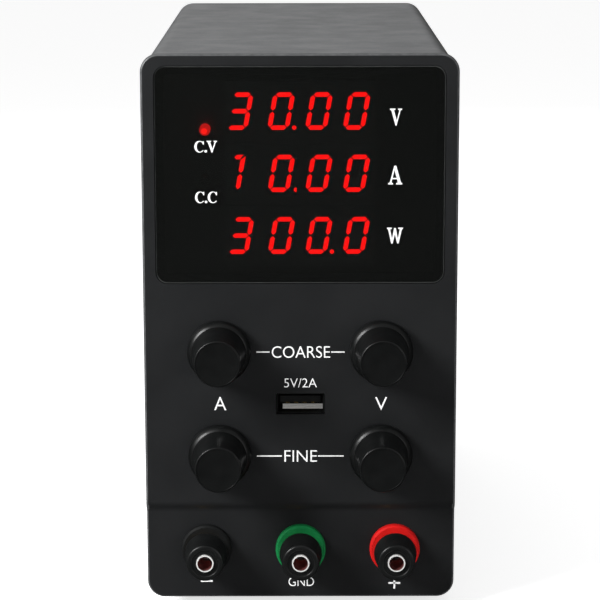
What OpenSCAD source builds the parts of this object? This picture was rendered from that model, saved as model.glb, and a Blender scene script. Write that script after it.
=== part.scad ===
// Bench power supply: a narrow upright case with three numeric displays, four control knobs,
// a charging port and three binding posts on the front, and a fan, inlet and switches behind.
// X runs to the right, Y from the front panel to the rear and Z up from the table.

/* [Front panel] */
// Width of the moulded front panel
bezel_w = 86.5; // [84:0.5:110]
// Height of the moulded front panel
bezel_h = 153.5; // [150:0.5:190]
// Depth of the front panel from its face to its rear rim
bezel_d = 15; // [14:0.5:20]
// Radius of the panel's four corners
bezel_r = 5; // [4:0.5:6]
// Rounding of the panel's front edges
bezel_edge = 0.8; // [0.5:0.1:1.6]
// Wall of the panel's sides
bezel_wall = 2.4; // [2:0.1:3]
// Thickness of the panel's face
face_t = 3.2; // [3:0.1:4]
// Height of the shoulder's middle above the panel's lower edge
step_z = 26.7; // [26:0.1:29]
// Height of the shoulder's curve, from the face down to the recess
step_h = 3.2; // [2.6:0.1:3.6]
// Depth of the terminal recess
step_d = 1; // [0.6:0.1:1.4]

/* [Display] */
// Width of the dark window
window_w = 79.2; // [72:0.2:80]
// Height of the dark window
window_h = 59.8; // [56:0.2:64]
// Corner radius of the window
window_r = 3.3; // [2.5:0.1:5]
// Thickness of the window
window_t = 2; // [1.5:0.1:2.2]
// Height of the window's centre above the panel's lower edge
window_z = 120.3; // [116:0.1:121]
// Rounding of the window's front edge
window_edge = 0.3; // [0.1:0.05:0.4]
// Width of the ledge that the window lies on
window_ledge = 2.4; // [2:0.1:3]
// Depth of the window's face below the panel's face
window_sunk = 0.4; // [0.2:0.1:0.6]
// Width of one four-digit display block
readout_w = 41.2; // [38:0.2:44]
// Height of one display block
readout_h = 16.9; // [14:0.1:17]
// Distance between the rows of digits
readout_pitch = 17.05; // [17:0.05:18]
// Diameter of the two mode lamps
lamp_d = 3; // [2:0.1:4]
// Distance of the mode lamps from the middle of the panel
lamp_x = 26; // [23:0.05:30]
// Height of the upper lamp above the panel's lower edge
upper_lamp_z = 132.3; // [128:0.1:136]
// Height of the lower lamp above the panel's lower edge
lower_lamp_z = 118.6; // [114:0.1:122]

/* [Knobs] */
// Diameter of a knob's skirt
knob_d = 17.5; // [15:0.5:22]
// Diameter of a knob's front disc
knob_front_d = 12.7; // [10:0.1:14]
// Distance from the panel to a knob's front disc
knob_reach = 16; // [14:0.5:20]
// Gap between a knob's skirt and the panel
knob_gap = 0.8; // [0.4:0.1:1.2]
// Distance of the knobs from the middle of the panel
knob_x = 22.4; // [20:0.1:26]
// Height of the coarse knobs above the panel's lower edge
coarse_z = 71.5; // [68:0.5:74]
// Height of the fine knobs above the panel's lower edge
fine_z = 42; // [40:0.5:46]
// Diameter of the control shafts
shaft_d = 6; // [5:0.5:6]
// Thread diameter of the controls' bushings
bushing_d = 7.6; // [7.2:0.1:8]
// Diameter of a control's round body
pot_d = 16; // [12:0.5:17]
// Depth of a control's body behind the panel
pot_depth = 8.2; // [7:0.1:10]

/* [Charging port] */
// Height of the port's centre above the panel's lower edge
port_z = 56.4; // [54:0.1:58]
// Outer width of the port's metal shell
port_w = 13.1; // [13:0.1:13.4]
// Outer height of the port's metal shell
port_h = 5.7; // [5.6:0.1:6]

/* [Terminals] */
// Distance between neighbouring binding posts
post_pitch = 26.4; // [20:0.1:27]
// Height of the posts above the panel's lower edge
post_z = 14.5; // [13:0.1:15]
// Diameter of the coloured collars
collar_d = 14; // [12:0.1:16]
// Thickness of the coloured collars
collar_t = 2.2; // [1.8:0.1:4]
// Thread diameter of the posts
post_d = 6; // [5.6:0.1:6.2]
// Bore of the posts, for a 4 mm plug
socket_d = 4.1; // [4:0.05:4.2]
// Depth of that bore
socket_depth = 15; // [12:0.5:18]
// Distance from the collar's face to the post's tip
post_reach = 12.5; // [12:0.5:18]
// Diameter of a clamping cap at its rear rim
cap_d = 11.8; // [10:0.1:12]
// Diameter of a clamping cap at its front
cap_front_d = 10.3; // [9.4:0.1:11]

/* [Case] */
// Distance from the panel's face to the rear edge of the cover
case_depth = 190; // [185:1:230]
// Distance of the cover's sides inside the front panel's sides
cover_inset = 0.3; // [0.1:0.1:0.6]
// Thickness of the cover's steel
cover_t = 1; // [0.8:0.1:1.2]
// Outer radius of the cover's two folds
cover_r = 5.5; // [4:0.5:7]
// Thickness of the chassis steel
sheet_t = 1.2; // [1:0.1:1.5]
// Distance of the rear panel inside the cover's rear edge
rear_inset = 2; // [1:0.1:4]
// Height of the rubber feet
foot_h = 3; // [2:0.5:8]
// Diameter of the rubber feet
foot_d = 13; // [10:0.5:16]
// Width of a ventilation slot
slot_w = 2.6; // [2:0.1:3.5]
// Length of a ventilation slot
slot_l = 20; // [14:1:24]
// Number of slots in each row
slot_count = 12; // [6:1:14]

/* [Fan] */
// Outer width of the fan's frame
fan_w = 60; // [56:1:66]
// Depth of the fan's frame
fan_depth = 25; // [20:1:28]
// Distance between the fan's screws
fan_screw_pitch = 50; // [46:1:54]
// Diameter of the fan's air passage
fan_bore = 57; // [50:0.5:58]
// Height of the fan's centre above the panel's lower edge
fan_z = 109.5; // [100:0.5:112]
// Number of blades
blade_count = 7; // [5:1:9]

/* [Rear fittings] */
// Height of the inlet's centre above the panel's lower edge
inlet_z = 28.5; // [26:0.5:32]
// Distance between the inlet's screws
inlet_screw_pitch = 40; // [38:1:44]
// Height of the switches' centre above the panel's lower edge
switch_z = 61.5; // [58:0.5:66]
// Distance of the rocker switch from the middle
rocker_x = 23; // [20:1:28]
// Distance of the voltage selector from the middle
selector_x = 17; // [16:1:22]
// Travel of the voltage selector
selector_travel = 4; // [3:0.5:5]

/* [Boards] */
// Thickness of the circuit boards
board_t = 1.6; // [1.2:0.1:2]
// Width of the main board
board_w = 74; // [70:1:78]
// Length of the main board
board_l = 120; // [110:1:140]
// Height of the spacers under the main board
spacer_h = 6; // [5:1:10]

/* [Hidden] */
$fn = 48;

// Clearances
slip = 0.1;            // between still pieces that slide together
seat = 0.3;            // between a still piece and one that moves
run = 0.05;            // around a shaft that turns
past = 1;              // how far a cutter runs past a face

// Heights above the table
bezel_top = foot_h + bezel_h;
bezel_mid = foot_h + bezel_h / 2;
shoulder_z = foot_h + step_z;
window_mid = foot_h + window_z;
port_mid = foot_h + port_z;
post_mid = foot_h + post_z;
fan_mid = foot_h + fan_z;
inlet_mid = foot_h + inlet_z;
switch_mid = foot_h + switch_z;

// Panel
inner_w = bezel_w - 2 * bezel_wall;
step_turn = 2 * atan(step_d / step_h);
step_r = step_h / 2 / sin(step_turn);
recess_back = step_d + face_t;
rebate_d = window_sunk + window_t;
boss_r = 3.4;
low_boss_z = foot_h + bezel_wall + boss_r - 0.4;
high_boss_z = foot_h + window_z - window_h / 2 - boss_r - 1.2;
screw_r = 1.5;
screw_hole_r = screw_r + 0.2;
screw_thread_r = screw_r + run;
screw_head_r = 2.8;
screw_head_h = 1.2;
fine_screw_r = 1;
block_w = 4;
opening_r = 1.3;
readout_gap = 0.5;
field_w = 8.4;
field_h = 12.4;
field_sunk = 0.3;
lamp_gap = 0.3;
port_gap = 0.15;
block_h = 7;
display_board_y = 10;
block_x = inner_w / 2 - block_w / 2 + 0.4;
block_z = window_h / 2 - block_h / 2 - 1;

// Controls
control_board_y = face_t + pot_depth;
control_board_z0 = shoulder_z + 4;
control_board_z1 = high_boss_z - boss_r - 1;
nut_t = 2;
nut_across = 10;
bushing_reach = nut_t + 1.2;
shaft_front = knob_reach - 2.8;
shaft_end = face_t + 2;
shaft_flat = 1.4;

// Terminals
collar_face = step_d - collar_t;
spigot_r = post_d / 2 + 2;
cap_gap = 2.7;
cap_front = post_reach - 0.4;
insert_front = post_reach - 3.4;
insert_r = post_d / 2 + 0.9;
nose_r = insert_r + 0.5;
tip_r = socket_d / 2 + 0.35;
tip_start = post_reach - 3.6;
bush_t = 2;
washer_t = 1;
post_nut_t = 4;
lug_t = 0.8;
post_clear_r = 7;
bush_back = recess_back + bush_t;
washer_back = bush_back + washer_t;
first_nut_back = washer_back + post_nut_t;
lug_back = first_nut_back + lug_t;
second_nut_back = lug_back + post_nut_t;
post_back = second_nut_back + 2;

// Case
cover_w = bezel_w - 2 * cover_inset;
cover_front = bezel_d + 0.4;
frame_front = bezel_d;
frame_back = frame_front + sheet_t;
chassis_w = cover_w - 2 * cover_t - 2 * slip;
chassis_top = bezel_top - cover_t - slip;
boss_x = chassis_w / 2 - sheet_t - screw_head_r;
base_top = foot_h + sheet_t;
base_front = frame_back;
rear_face = case_depth - rear_inset;
rear_inner = rear_face - sheet_t;
base_flange = 14;
fold_l = 9;
rear_tab_x = 30;
rear_tab_y = rear_inner - 6;
base_slot_l = 34;
base_slot_count = 8;
base_slot_pitch = 7;
screw_z = foot_h + 8;
high_screw_z = foot_h + bezel_h - 30;
front_screw_y = frame_back + 5;
rear_screw_y = rear_inner - 5;
foot_x = chassis_w / 2 - foot_d / 2 - 3;
foot_front_y = cover_front + 10;
foot_rear_y = rear_face - 22;
low_screw_ys = [cover_front + 27, rear_inner - 27];
frame_strip = 8.6;

// Fan and guard
guard_wire = 1.6;
guard_pitch = (fan_bore - 1) / 8;
guard_eye_r = 2.9;
fan_screw_r = 1.9;
fan_hole_r = fan_screw_r + 0.2;
fan_head_r = 3.6;
fan_screw_l = 12;
fan_shaft_r = 1.5;
fan_head_h = 2.4;
fan_screw_head = rear_face + guard_wire;
fan_y0 = rear_inner - fan_depth;
hub_r = 14;
stator_t = 4;
rotor_tip = fan_bore / 2 - 0.6;

// Inlet
flange_t = 3;
inlet_w = 27.4;
inlet_h = 31;
inlet_depth = 22;
inlet_out = rear_face + flange_t;
pin_pitch = 7;
pin_w = 2;
pin_h = 4;
socket_w = 24.2;
socket_h = 16.6;
socket_mid = inlet_mid + 5.4;
inlet_socket_depth = 16;
drawer_w = 22;
drawer_h = 9;
drawer_mid = inlet_mid - 9.6;
drawer_l = 23;
fuse_r = 2.6;
fuse_l = 20;

// Switches
rocker_w = 15;
rocker_h = 21;
rocker_cut_w = 13;
rocker_cut_h = 19;
rocker_flange = 1.6;
rocker_tilt = 9;
rocker_wall = 1.4;
rocker_pivot_y = rear_face - 1.5;
rocker_pin_r = 1.2;
selector_w = 30;
selector_h = 14;
selector_cut_w = 19;
selector_cut_h = 9;
selector_wall = 2;
selector_slot_h = 6;
selector_depth = 4.5;
selector_flange = 1.2;

// Inside
board_y0 = frame_back + 16;
board_z0 = base_top + spacer_h;
board_top = board_z0 + board_t;
sink_x0 = 24;
sink_base = 3;
sink_fin = 9;
sink_h = 62;
sink_l = 66;
fin_t = 1.5;
sink_y0 = board_y0 + 26;
core_l = 42;
core_t = 20;
core_h = 42;
core_leg = 6;
core_y0 = sink_y0 + 12;
core_z0 = board_top + 3;
bulk_cap_d = 24;
bulk_cap_h = 42;
small_cap_d = 12.5;
small_cap_h = 25;
device_w = 16;
device_h = 21;
device_t = 5;
lead_r = 1.4;
lead_end_y = board_y0 + 5;

// How far the whole reaches to the front and back, and the middle of that
reach_back = fan_screw_head + fan_head_h;
mid_y = (reach_back - knob_reach) / 2;

module placed() {
    translate([0, -mid_y, 0]) children();
}

module box(x0, x1, y0, y1, z0, z1) {
    translate([x0, y0, z0]) cube([x1 - x0, y1 - y0, z1 - z0]);
}

// An outline drawn in X and Z, made solid from y0 to y1
module plate_y(y0, y1) {
    translate([0, y1, 0]) rotate([90, 0, 0]) linear_extrude(y1 - y0) children();
}

// An outline drawn in Y and Z, made solid from x0 to x1
module plate_x(x0, x1) {
    translate([x0, 0, 0]) rotate([90, 0, 90]) linear_extrude(x1 - x0) children();
}

module rod_y(x, z, r, y0, y1) {
    translate([x, y1, z]) rotate([90, 0, 0]) cylinder(r = r, h = y1 - y0);
}

module rod_x(y, z, r, x0, x1) {
    translate([x0, y, z]) rotate([0, 90, 0]) cylinder(r = r, h = x1 - x0);
}

// An outline of radius and depth, turned about an axis along Y
module turned_y(x, z) {
    translate([x, 0, z]) rotate([-90, 0, 0]) rotate_extrude() children();
}

module hex_y(x, z, across, y0, y1) {
    translate([x, y1, z]) rotate([90, 30, 0]) cylinder(d = across / cos(30), h = y1 - y0, $fn = 6);
}

module rounded_rect(w, h, r) {
    square([w - 2 * r, h], center = true);
    square([w, h - 2 * r], center = true);
    for (sx = [-1, 1], sy = [-1, 1]) {
        translate([sx * (w / 2 - r), sy * (h / 2 - r)]) circle(r);
    }
}

module slot(l, w) {
    square([w, l - w], center = true);
    for (s = [-1, 1]) translate([0, s * (l - w) / 2]) circle(d = w);
}

function arc(cx, cy, r, a0, a1, steps) =
    [for (i = [0 : steps]) let (a = a0 + (a1 - a0) * i / steps) [cx + r * cos(a), cy + r * sin(a)]];

// A closed solid over rings of points, each ring with the same number of them
module skin(rings) {
    n = len(rings[0]);
    last = len(rings) - 1;
    walls = [for (i = [0 : last - 1], k = [0 : n - 1])
        [i * n + k, i * n + (k + 1) % n, (i + 1) * n + (k + 1) % n, (i + 1) * n + k]];
    ends = [[for (k = [n - 1 : -1 : 0]) k], [for (k = [0 : n - 1]) last * n + k]];
    polyhedron([for (ring = rings, p = ring) p], concat(walls, ends));
}

// Section through the rim of a slab: r wide and d deep, with its outer front edge rounded
module rim_section(r, d, edge) {
    polygon(concat([[0, d], [0, 0]], arc(r - edge, edge, edge, -90, 0, 5), [[r, d]]));
}

// An upright slab with rounded corners and softened front edges, its front at y = 0
module soft_slab(w, h, r, d, edge) {
    box(r - w / 2, w / 2 - r, 0, d, r - h / 2, h / 2 - r);
    for (side = [0, 1]) {
        mirror([side, 0, 0]) translate([w / 2 - r, 0, r - h / 2]) {
            linear_extrude(h - 2 * r) rim_section(r, d, edge);
        }
        mirror([0, 0, side]) translate([w / 2 - r, 0, h / 2 - r]) rotate([0, -90, 0]) {
            linear_extrude(w - 2 * r) rim_section(r, d, edge);
        }
    }
    for (quarter = [0 : 3]) {
        sx = (quarter == 0 || quarter == 3) ? 1 : -1;
        sz = quarter > 1 ? 1 : -1;
        translate([sx * (w / 2 - r), 0, sz * (h / 2 - r)]) rotate([0, 90 * quarter, 0]) {
            rotate([-90, 0, 0]) rotate_extrude(angle = 90) rim_section(r, d, edge);
        }
    }
}

// Front panel pieces

// How the face falls back to the recess: depth and height of each point, lip above hollow fillet
function shoulder_curve() = concat(
    arc(step_r, shoulder_z + step_h / 2, step_r, 180, 180 + step_turn, 4),
    arc(step_d - step_r, shoulder_z - step_h / 2, step_r, step_turn * 3 / 4, 0, 3));

// The shoulder with its rounded side edges, as one skin over the points of its curve
module shoulder() {
    edge = arc(bezel_w / 2 - bezel_edge, bezel_edge, bezel_edge, -90, 0, 5);
    last = len(edge) - 1;
    curve = shoulder_curve();
    rings = [for (p = curve) concat(
        [for (e = edge) [e[0], e[1] + p[0], p[1]]],
        [[bezel_w / 2, bezel_d, p[1]], [-bezel_w / 2, bezel_d, p[1]]],
        [for (i = [last : -1 : 0]) [-edge[i][0], edge[i][1] + p[0], p[1]]])];
    skin(rings);
}

module bezel_form() {
    lip_z = shoulder_z + step_h / 2;
    foot_z = shoulder_z - step_h / 2;
    intersection() {
        translate([0, 0, bezel_mid]) soft_slab(bezel_w, bezel_h, bezel_r, bezel_d, bezel_edge);
        box(-bezel_w, bezel_w, -past, bezel_d + past, lip_z, bezel_top + past);
    }
    shoulder();
    intersection() {
        translate([0, step_d, bezel_mid]) {
            soft_slab(bezel_w, bezel_h, bezel_r, bezel_d - step_d, bezel_edge);
        }
        box(-bezel_w, bezel_w, 0, bezel_d + past, 0, foot_z);
    }
}

module bezel_hollow() {
    inner_r = bezel_r - bezel_wall;
    plate_y(recess_back, bezel_d + past) {
        translate([0, bezel_mid]) rounded_rect(inner_w, bezel_h - 2 * bezel_wall, inner_r);
    }
    floor_z = shoulder_z + step_h / 2 + 1;
    box(-inner_w / 2, inner_w / 2, face_t, recess_back + past, floor_z,
        bezel_top - bezel_wall - inner_r);
    box(inner_r - inner_w / 2, inner_w / 2 - inner_r, face_t, recess_back + past, floor_z,
        bezel_top - bezel_wall);
}

module front_bezel() {
    placed() color("#2b2c2e") difference() {
        union() {
            difference() {
                bezel_form();
                bezel_hollow();
            }
            for (sx = [-1, 1]) {
                rod_y(sx * boss_x, low_boss_z, boss_r, recess_back - 0.5, bezel_d);
                rod_y(sx * boss_x, high_boss_z, boss_r, face_t - 0.5, bezel_d);
                for (sz = [-1, 1]) {
                    translate([sx * block_x, 0, window_mid + sz * block_z]) {
                        box(-block_w / 2, block_w / 2, face_t - 0.5, display_board_y,
                            -block_h / 2, block_h / 2);
                    }
                }
            }
        }
        plate_y(-past, rebate_d) translate([0, window_mid]) {
            rounded_rect(window_w + 2 * slip, window_h + 2 * slip, window_r + slip);
        }
        plate_y(-past, face_t + past) translate([0, window_mid]) {
            rounded_rect(window_w - 2 * window_ledge, window_h - 2 * window_ledge, opening_r);
        }
        for (sx = [-1, 1]) {
            for (z = [coarse_z, fine_z]) {
                rod_y(sx * knob_x, foot_h + z, bushing_d / 2 + slip, -past, recess_back);
            }
            rod_y(sx * boss_x, low_boss_z, screw_thread_r, recess_back + 1, bezel_d + past);
            rod_y(sx * boss_x, high_boss_z, screw_thread_r, face_t + 2, bezel_d + past);
            for (sz = [-1, 1]) {
                rod_y(sx * block_x, window_mid + sz * block_z, fine_screw_r + run, face_t + 1,
                    display_board_y + past);
            }
        }
        box(-port_w / 2 - port_gap, port_w / 2 + port_gap, -past, recess_back,
            port_mid - port_h / 2 - port_gap, port_mid + port_h / 2 + port_gap);
        for (i = [-1 : 1]) {
            rod_y(i * post_pitch, post_mid, spigot_r + slip, -past, bezel_d);
        }
    }
}

module display_window() {
    placed() color("#151716") translate([0, window_sunk, window_mid]) {
        soft_slab(window_w, window_h, window_r, window_t, window_edge);
    }
}

module display_board() {
    half_w = inner_w / 2 - 0.6;
    placed() color("#1f5a3a") difference() {
        box(-half_w, half_w, display_board_y, display_board_y + board_t,
            window_mid - window_h / 2 + 0.6, window_mid + window_h / 2 - 0.3);
        for (sx = [-1, 1], sz = [-1, 1]) {
            rod_y(sx * block_x, window_mid + sz * block_z, fine_screw_r + slip, 0, bezel_d);
        }
    }
}

// One display block: a case with four digit fields sunk into its face
module readout(row) {
    mid = window_mid + row * readout_pitch;
    front = rebate_d + readout_gap;
    placed() color("#3a3d3c") difference() {
        box(-readout_w / 2, readout_w / 2, front, display_board_y, mid - readout_h / 2,
            mid + readout_h / 2);
        for (digit = [-1.5 : 1.5]) {
            translate([digit * readout_w / 4, 0, mid]) {
                box(-field_w / 2, field_w / 2, front - past, front + field_sunk, -field_h / 2, field_h / 2);
            }
        }
    }
}

// A lamp with its dome and two legs
module lamp(z) {
    dome = lamp_d / 2;
    tip = rebate_d + lamp_gap;
    placed() color("#e01818") {
        turned_y(-lamp_x, foot_h + z) {
            intersection() {
                union() {
                    translate([0, tip + dome]) circle(dome);
                    translate([0, tip + dome]) square([dome, 3]);
                }
                square([lamp_d, bezel_d]);
            }
        }
        for (s = [-1, 1]) {
            rod_y(-lamp_x + s * 0.9, foot_h + z, 0.3, tip + dome + 2.6, display_board_y);
        }
    }
}

module control_board() {
    half_w = inner_w / 2 - 0.8;
    placed() color("#1f5a3a") {
        box(-half_w, half_w, control_board_y, control_board_y + board_t, control_board_z0,
            control_board_z1);
        for (i = [-2 : 2]) {
            box(i * 9 - 1.5, i * 9 + 1.5, control_board_y + board_t - 0.1,
                control_board_y + board_t + 0.8, control_board_z0 + 24, control_board_z0 + 28);
        }
    }
}

module at_knobs() {
    for (sx = [-1, 1], z = [coarse_z, fine_z]) {
        translate([sx * knob_x, 0, foot_h + z]) children();
    }
}

// The round bodies of the four controls, each on the back of the panel
module pot_bodies() {
    placed() color("#8d9093") at_knobs() difference() {
        union() {
            rod_y(0, 0, pot_d / 2, face_t, face_t + pot_depth);
            box(-4.5, 4.5, face_t + 1.5, face_t + pot_depth, -pot_d / 2 - 2.5, 0);
        }
        rod_y(0, 0, shaft_d / 2 + run, 0, shaft_end + seat);
    }
}

// Threaded bushings with their nuts and washers, hidden under the knobs
module pot_bushings() {
    placed() color("#b9bcbe") at_knobs() {
        difference() {
            rod_y(0, 0, bushing_d / 2, -bushing_reach, face_t);
            rod_y(0, 0, shaft_d / 2 + run, -bushing_reach - past, face_t + past);
        }
        difference() {
            hex_y(0, 0, nut_across, -nut_t, 0);
            rod_y(0, 0, bushing_d / 2 + slip, -nut_t - past, past);
        }
    }
}

// The shaft's section: round, with a flat on one side where the knob grips it
module shaft_outline(r, gap) {
    difference() {
        circle(r + gap);
        translate([-r - 1, r - shaft_flat + gap]) square([2 * r + 2, r]);
    }
}

module shaft(sx, z) {
    placed() color("#c2c5c7") translate([sx * knob_x, 0, foot_h + z]) {
        plate_y(-shaft_front, -bushing_reach - 0.8) shaft_outline(shaft_d / 2, 0);
        rod_y(0, 0, shaft_d / 2, -bushing_reach - 0.8, shaft_end);
    }
}

// A smooth knob: a broad skirt, a round shoulder and a cone up to a dished disc
module knob(sx, z) {
    skirt = knob_d / 2;
    disc = knob_front_d / 2;
    hollow_d = bushing_reach + 1.4;
    placed() color("#202122") difference() {
        turned_y(sx * knob_x, foot_h + z) polygon(concat(
            [[0, -knob_gap], [skirt, -knob_gap], [skirt, -knob_gap - 1.2]],
            arc(skirt - 2.2, -knob_gap - 1.2, 2.2, 0, -62, 6),
            [[disc, -knob_reach + 0.4], [disc - 0.35, -knob_reach], [disc - 0.8, -knob_reach]],
            [[disc * 0.5, -knob_reach + 0.45], [0, -knob_reach + 0.6]]
        ));
        rod_y(sx * knob_x, foot_h + z, skirt - 2, -hollow_d, 0);
        translate([sx * knob_x, 0, foot_h + z]) {
            plate_y(-shaft_front - seat, 0) shaft_outline(shaft_d / 2, run);
        }
    }
}

// Metal shell of the charging port, open to the front, with two spring slots in its roof
module port_shell() {
    wall = 0.3;
    y0 = 1.2;
    placed() color("#c4c6c8") difference() {
        box(-port_w / 2, port_w / 2, y0, control_board_y, port_mid - port_h / 2,
            port_mid + port_h / 2);
        box(wall - port_w / 2, port_w / 2 - wall, y0 - past, control_board_y - 0.6,
            port_mid - port_h / 2 + wall, port_mid + port_h / 2 - wall);
        for (sx = [-1, 1]) {
            box(sx * 3.2 - 0.9, sx * 3.2 + 0.9, 4, 7.5, port_mid + 2.2, port_mid + port_h);
        }
    }
}

// The port's plastic tongue with its four contacts
module port_tongue() {
    top = port_mid + port_h / 2 - 0.95;
    placed() color("#18191a") {
        box(-5.55, 5.55, 2, control_board_y - 0.6, top - 1.8, top);
        for (i = [-1.5 : 1.5]) {
            box(i * 2.4 - 0.5, i * 2.4 + 0.5, 2.8, 9, top - 2, top - 1.7);
        }
    }
}

// A sheet frame behind the panel that the panel, the base and the cover are fixed to
module front_frame() {
    half = chassis_w / 2;
    fold_z0 = foot_h + base_flange + 4;
    fold_z1 = chassis_top - cover_r;
    placed() color("#9a9da0") difference() {
        union() {
            plate_y(frame_front, frame_back) {
                translate([0, (base_top + chassis_top) / 2]) {
                    rounded_rect(chassis_w, chassis_top - base_top, cover_r - cover_t);
                }
            }
            for (sx = [0, 1]) mirror([sx, 0, 0]) {
                box(half - sheet_t, half, frame_back - 0.1, frame_back + fold_l, fold_z0, fold_z1);
            }
        }
        box(frame_strip - half, half - frame_strip, frame_front - past, frame_back + past,
            low_boss_z + boss_r + 1, chassis_top - 6);
        for (sx = [-1, 1], z = [low_boss_z, high_boss_z]) {
            rod_y(sx * boss_x, z, screw_hole_r, frame_front - past, frame_back + past);
        }
        post_clearance();
        rod_x(front_screw_y, high_screw_z, screw_thread_r, -half - past, half + past);
    }
}

// Terminal pieces

// Room for the nuts of the posts in the sheets that they pass
module post_clearance() {
    for (i = [-1 : 1]) {
        rod_y(i * post_pitch, post_mid, post_clear_r, frame_front - past, base_front + sheet_t + past);
    }
}

// A coloured collar on the panel, its spigot through the panel and its bush behind
module collar(i, tint) {
    x = i * post_pitch;
    placed() color(tint) {
        difference() {
            union() {
                turned_y(x, post_mid) polygon([
                    [0, collar_face], [collar_d / 2 - 0.5, collar_face],
                    [collar_d / 2, collar_face + 0.5], [collar_d / 2, step_d], [0, step_d]
                ]);
                rod_y(x, post_mid, spigot_r, step_d - 0.5, recess_back - seat);
            }
            rod_y(x, post_mid, post_d / 2 + slip, -collar_t, recess_back);
        }
        difference() {
            rod_y(x, post_mid, collar_d / 2 - 0.5, recess_back, bush_back);
            rod_y(x, post_mid, post_d / 2 + slip, recess_back - past, bush_back + past);
        }
    }
}

// Plated posts: a thread, a plain tip, the plug's bore and the cross hole for a wire
module terminal_posts() {
    placed() color("#c9cbcd") for (i = [-1 : 1]) difference() {
        union() {
            rod_y(i * post_pitch, post_mid, post_d / 2, collar_face - tip_start, post_back);
            rod_y(i * post_pitch, post_mid, tip_r, collar_face - post_reach, collar_face - tip_start + 0.5);
        }
        rod_y(i * post_pitch, post_mid, socket_d / 2, collar_face - post_reach - past,
            collar_face - post_reach + socket_depth);
        translate([i * post_pitch, collar_face - 1.7, post_mid]) {
            cylinder(d = 2.2, h = post_d + 2, center = true);
        }
    }
}

// Behind the panel: a washer, a nut, a solder lug and a second nut on each post
module terminal_fixings() {
    placed() color("#bfc1c3") for (i = [-1 : 1]) {
        x = i * post_pitch;
        hole = post_d / 2 + slip;
        difference() {
            rod_y(x, post_mid, 5.6, bush_back, washer_back);
            rod_y(x, post_mid, hole, bush_back - past, washer_back + past);
        }
        difference() {
            hex_y(x, post_mid, nut_across, washer_back, first_nut_back);
            rod_y(x, post_mid, hole, washer_back - past, first_nut_back + past);
        }
        difference() {
            union() {
                rod_y(x, post_mid, 4.8, first_nut_back, lug_back);
                box(x - 2, x + 2, first_nut_back, lug_back, post_mid, post_mid + 11.5);
            }
            rod_y(x, post_mid, hole, first_nut_back - past, lug_back + past);
        }
        difference() {
            hex_y(x, post_mid, nut_across, lug_back, second_nut_back);
            rod_y(x, post_mid, hole, lug_back - past, second_nut_back + past);
        }
    }
}

// The threaded metal insert of a cap, with the nose that clamps a wire to the collar
module insert(i) {
    placed() color("#c7a252") difference() {
        union() {
            rod_y(i * post_pitch, post_mid, nose_r, collar_face - cap_gap, collar_face - seat);
            rod_y(i * post_pitch, post_mid, insert_r, collar_face - insert_front,
                collar_face - cap_gap + 0.5);
        }
        rod_y(i * post_pitch, post_mid, post_d / 2 + run, collar_face - insert_front - past, collar_face);
    }
}

// A smooth tapered cap with a rim at its rear and a rolled edge round its front
module cap(i, tint) {
    rear_r = cap_d / 2;
    front_r = cap_front_d / 2;
    rear = collar_face - cap_gap - seat;
    front = collar_face - cap_front;
    placed() color(tint) difference() {
        turned_y(i * post_pitch, post_mid) polygon(concat(
            [[0, rear], [rear_r - 0.3, rear], [rear_r, rear - 0.3], [rear_r, rear - 1.2]],
            arc(front_r - 0.7, front + 0.7, 0.7, 0, -90, 5),
            [[front_r - 1.3, front], [front_r - 1.5, front + 0.4], [0, front + 0.4]]
        ));
        rod_y(i * post_pitch, post_mid, insert_r + run, collar_face - insert_front - seat, collar_face);
        rod_y(i * post_pitch, post_mid, tip_r + 0.2, front - past, collar_face);
    }
}

// Case pieces

module cover_outline(w, top, r) {
    translate([-w / 2, foot_h - past]) square([w, top - r - foot_h + past]);
    translate([r - w / 2, foot_h - past]) square([w - 2 * r, top - foot_h + past]);
    for (sx = [-1, 1]) translate([sx * (w / 2 - r), top - r]) circle(r);
}

// The folded cover: a top and two sides with rows of ventilation slots
module case_cover() {
    slot_pitch_y = 2.4 * slot_w;
    slot_y0 = cover_front + (case_depth - cover_front - slot_pitch_y * (slot_count - 1)) / 2 - 8;
    placed() color("#7b7e81") difference() {
        plate_y(cover_front, case_depth) cover_outline(cover_w, bezel_top, cover_r);
        plate_y(cover_front - past, case_depth + past) {
            cover_outline(cover_w - 2 * cover_t, bezel_top - cover_t, cover_r - cover_t);
        }
        box(-cover_w, cover_w, 0, case_depth + past, -past, foot_h);
        plate_x(-cover_w, cover_w) {
            for (row = [0 : 2], i = [0 : slot_count - 1]) {
                translate([slot_y0 + i * slot_pitch_y, foot_h + 40 + row * (slot_l + 8)]) {
                    slot(slot_l, slot_w);
                }
            }
        }
        for (y = low_screw_ys) {
            rod_x(y, screw_z, screw_hole_r, -cover_w, cover_w);
        }
        for (y = [front_screw_y, rear_screw_y]) {
            rod_x(y, high_screw_z, screw_hole_r, -cover_w, cover_w);
        }
    }
}

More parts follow.
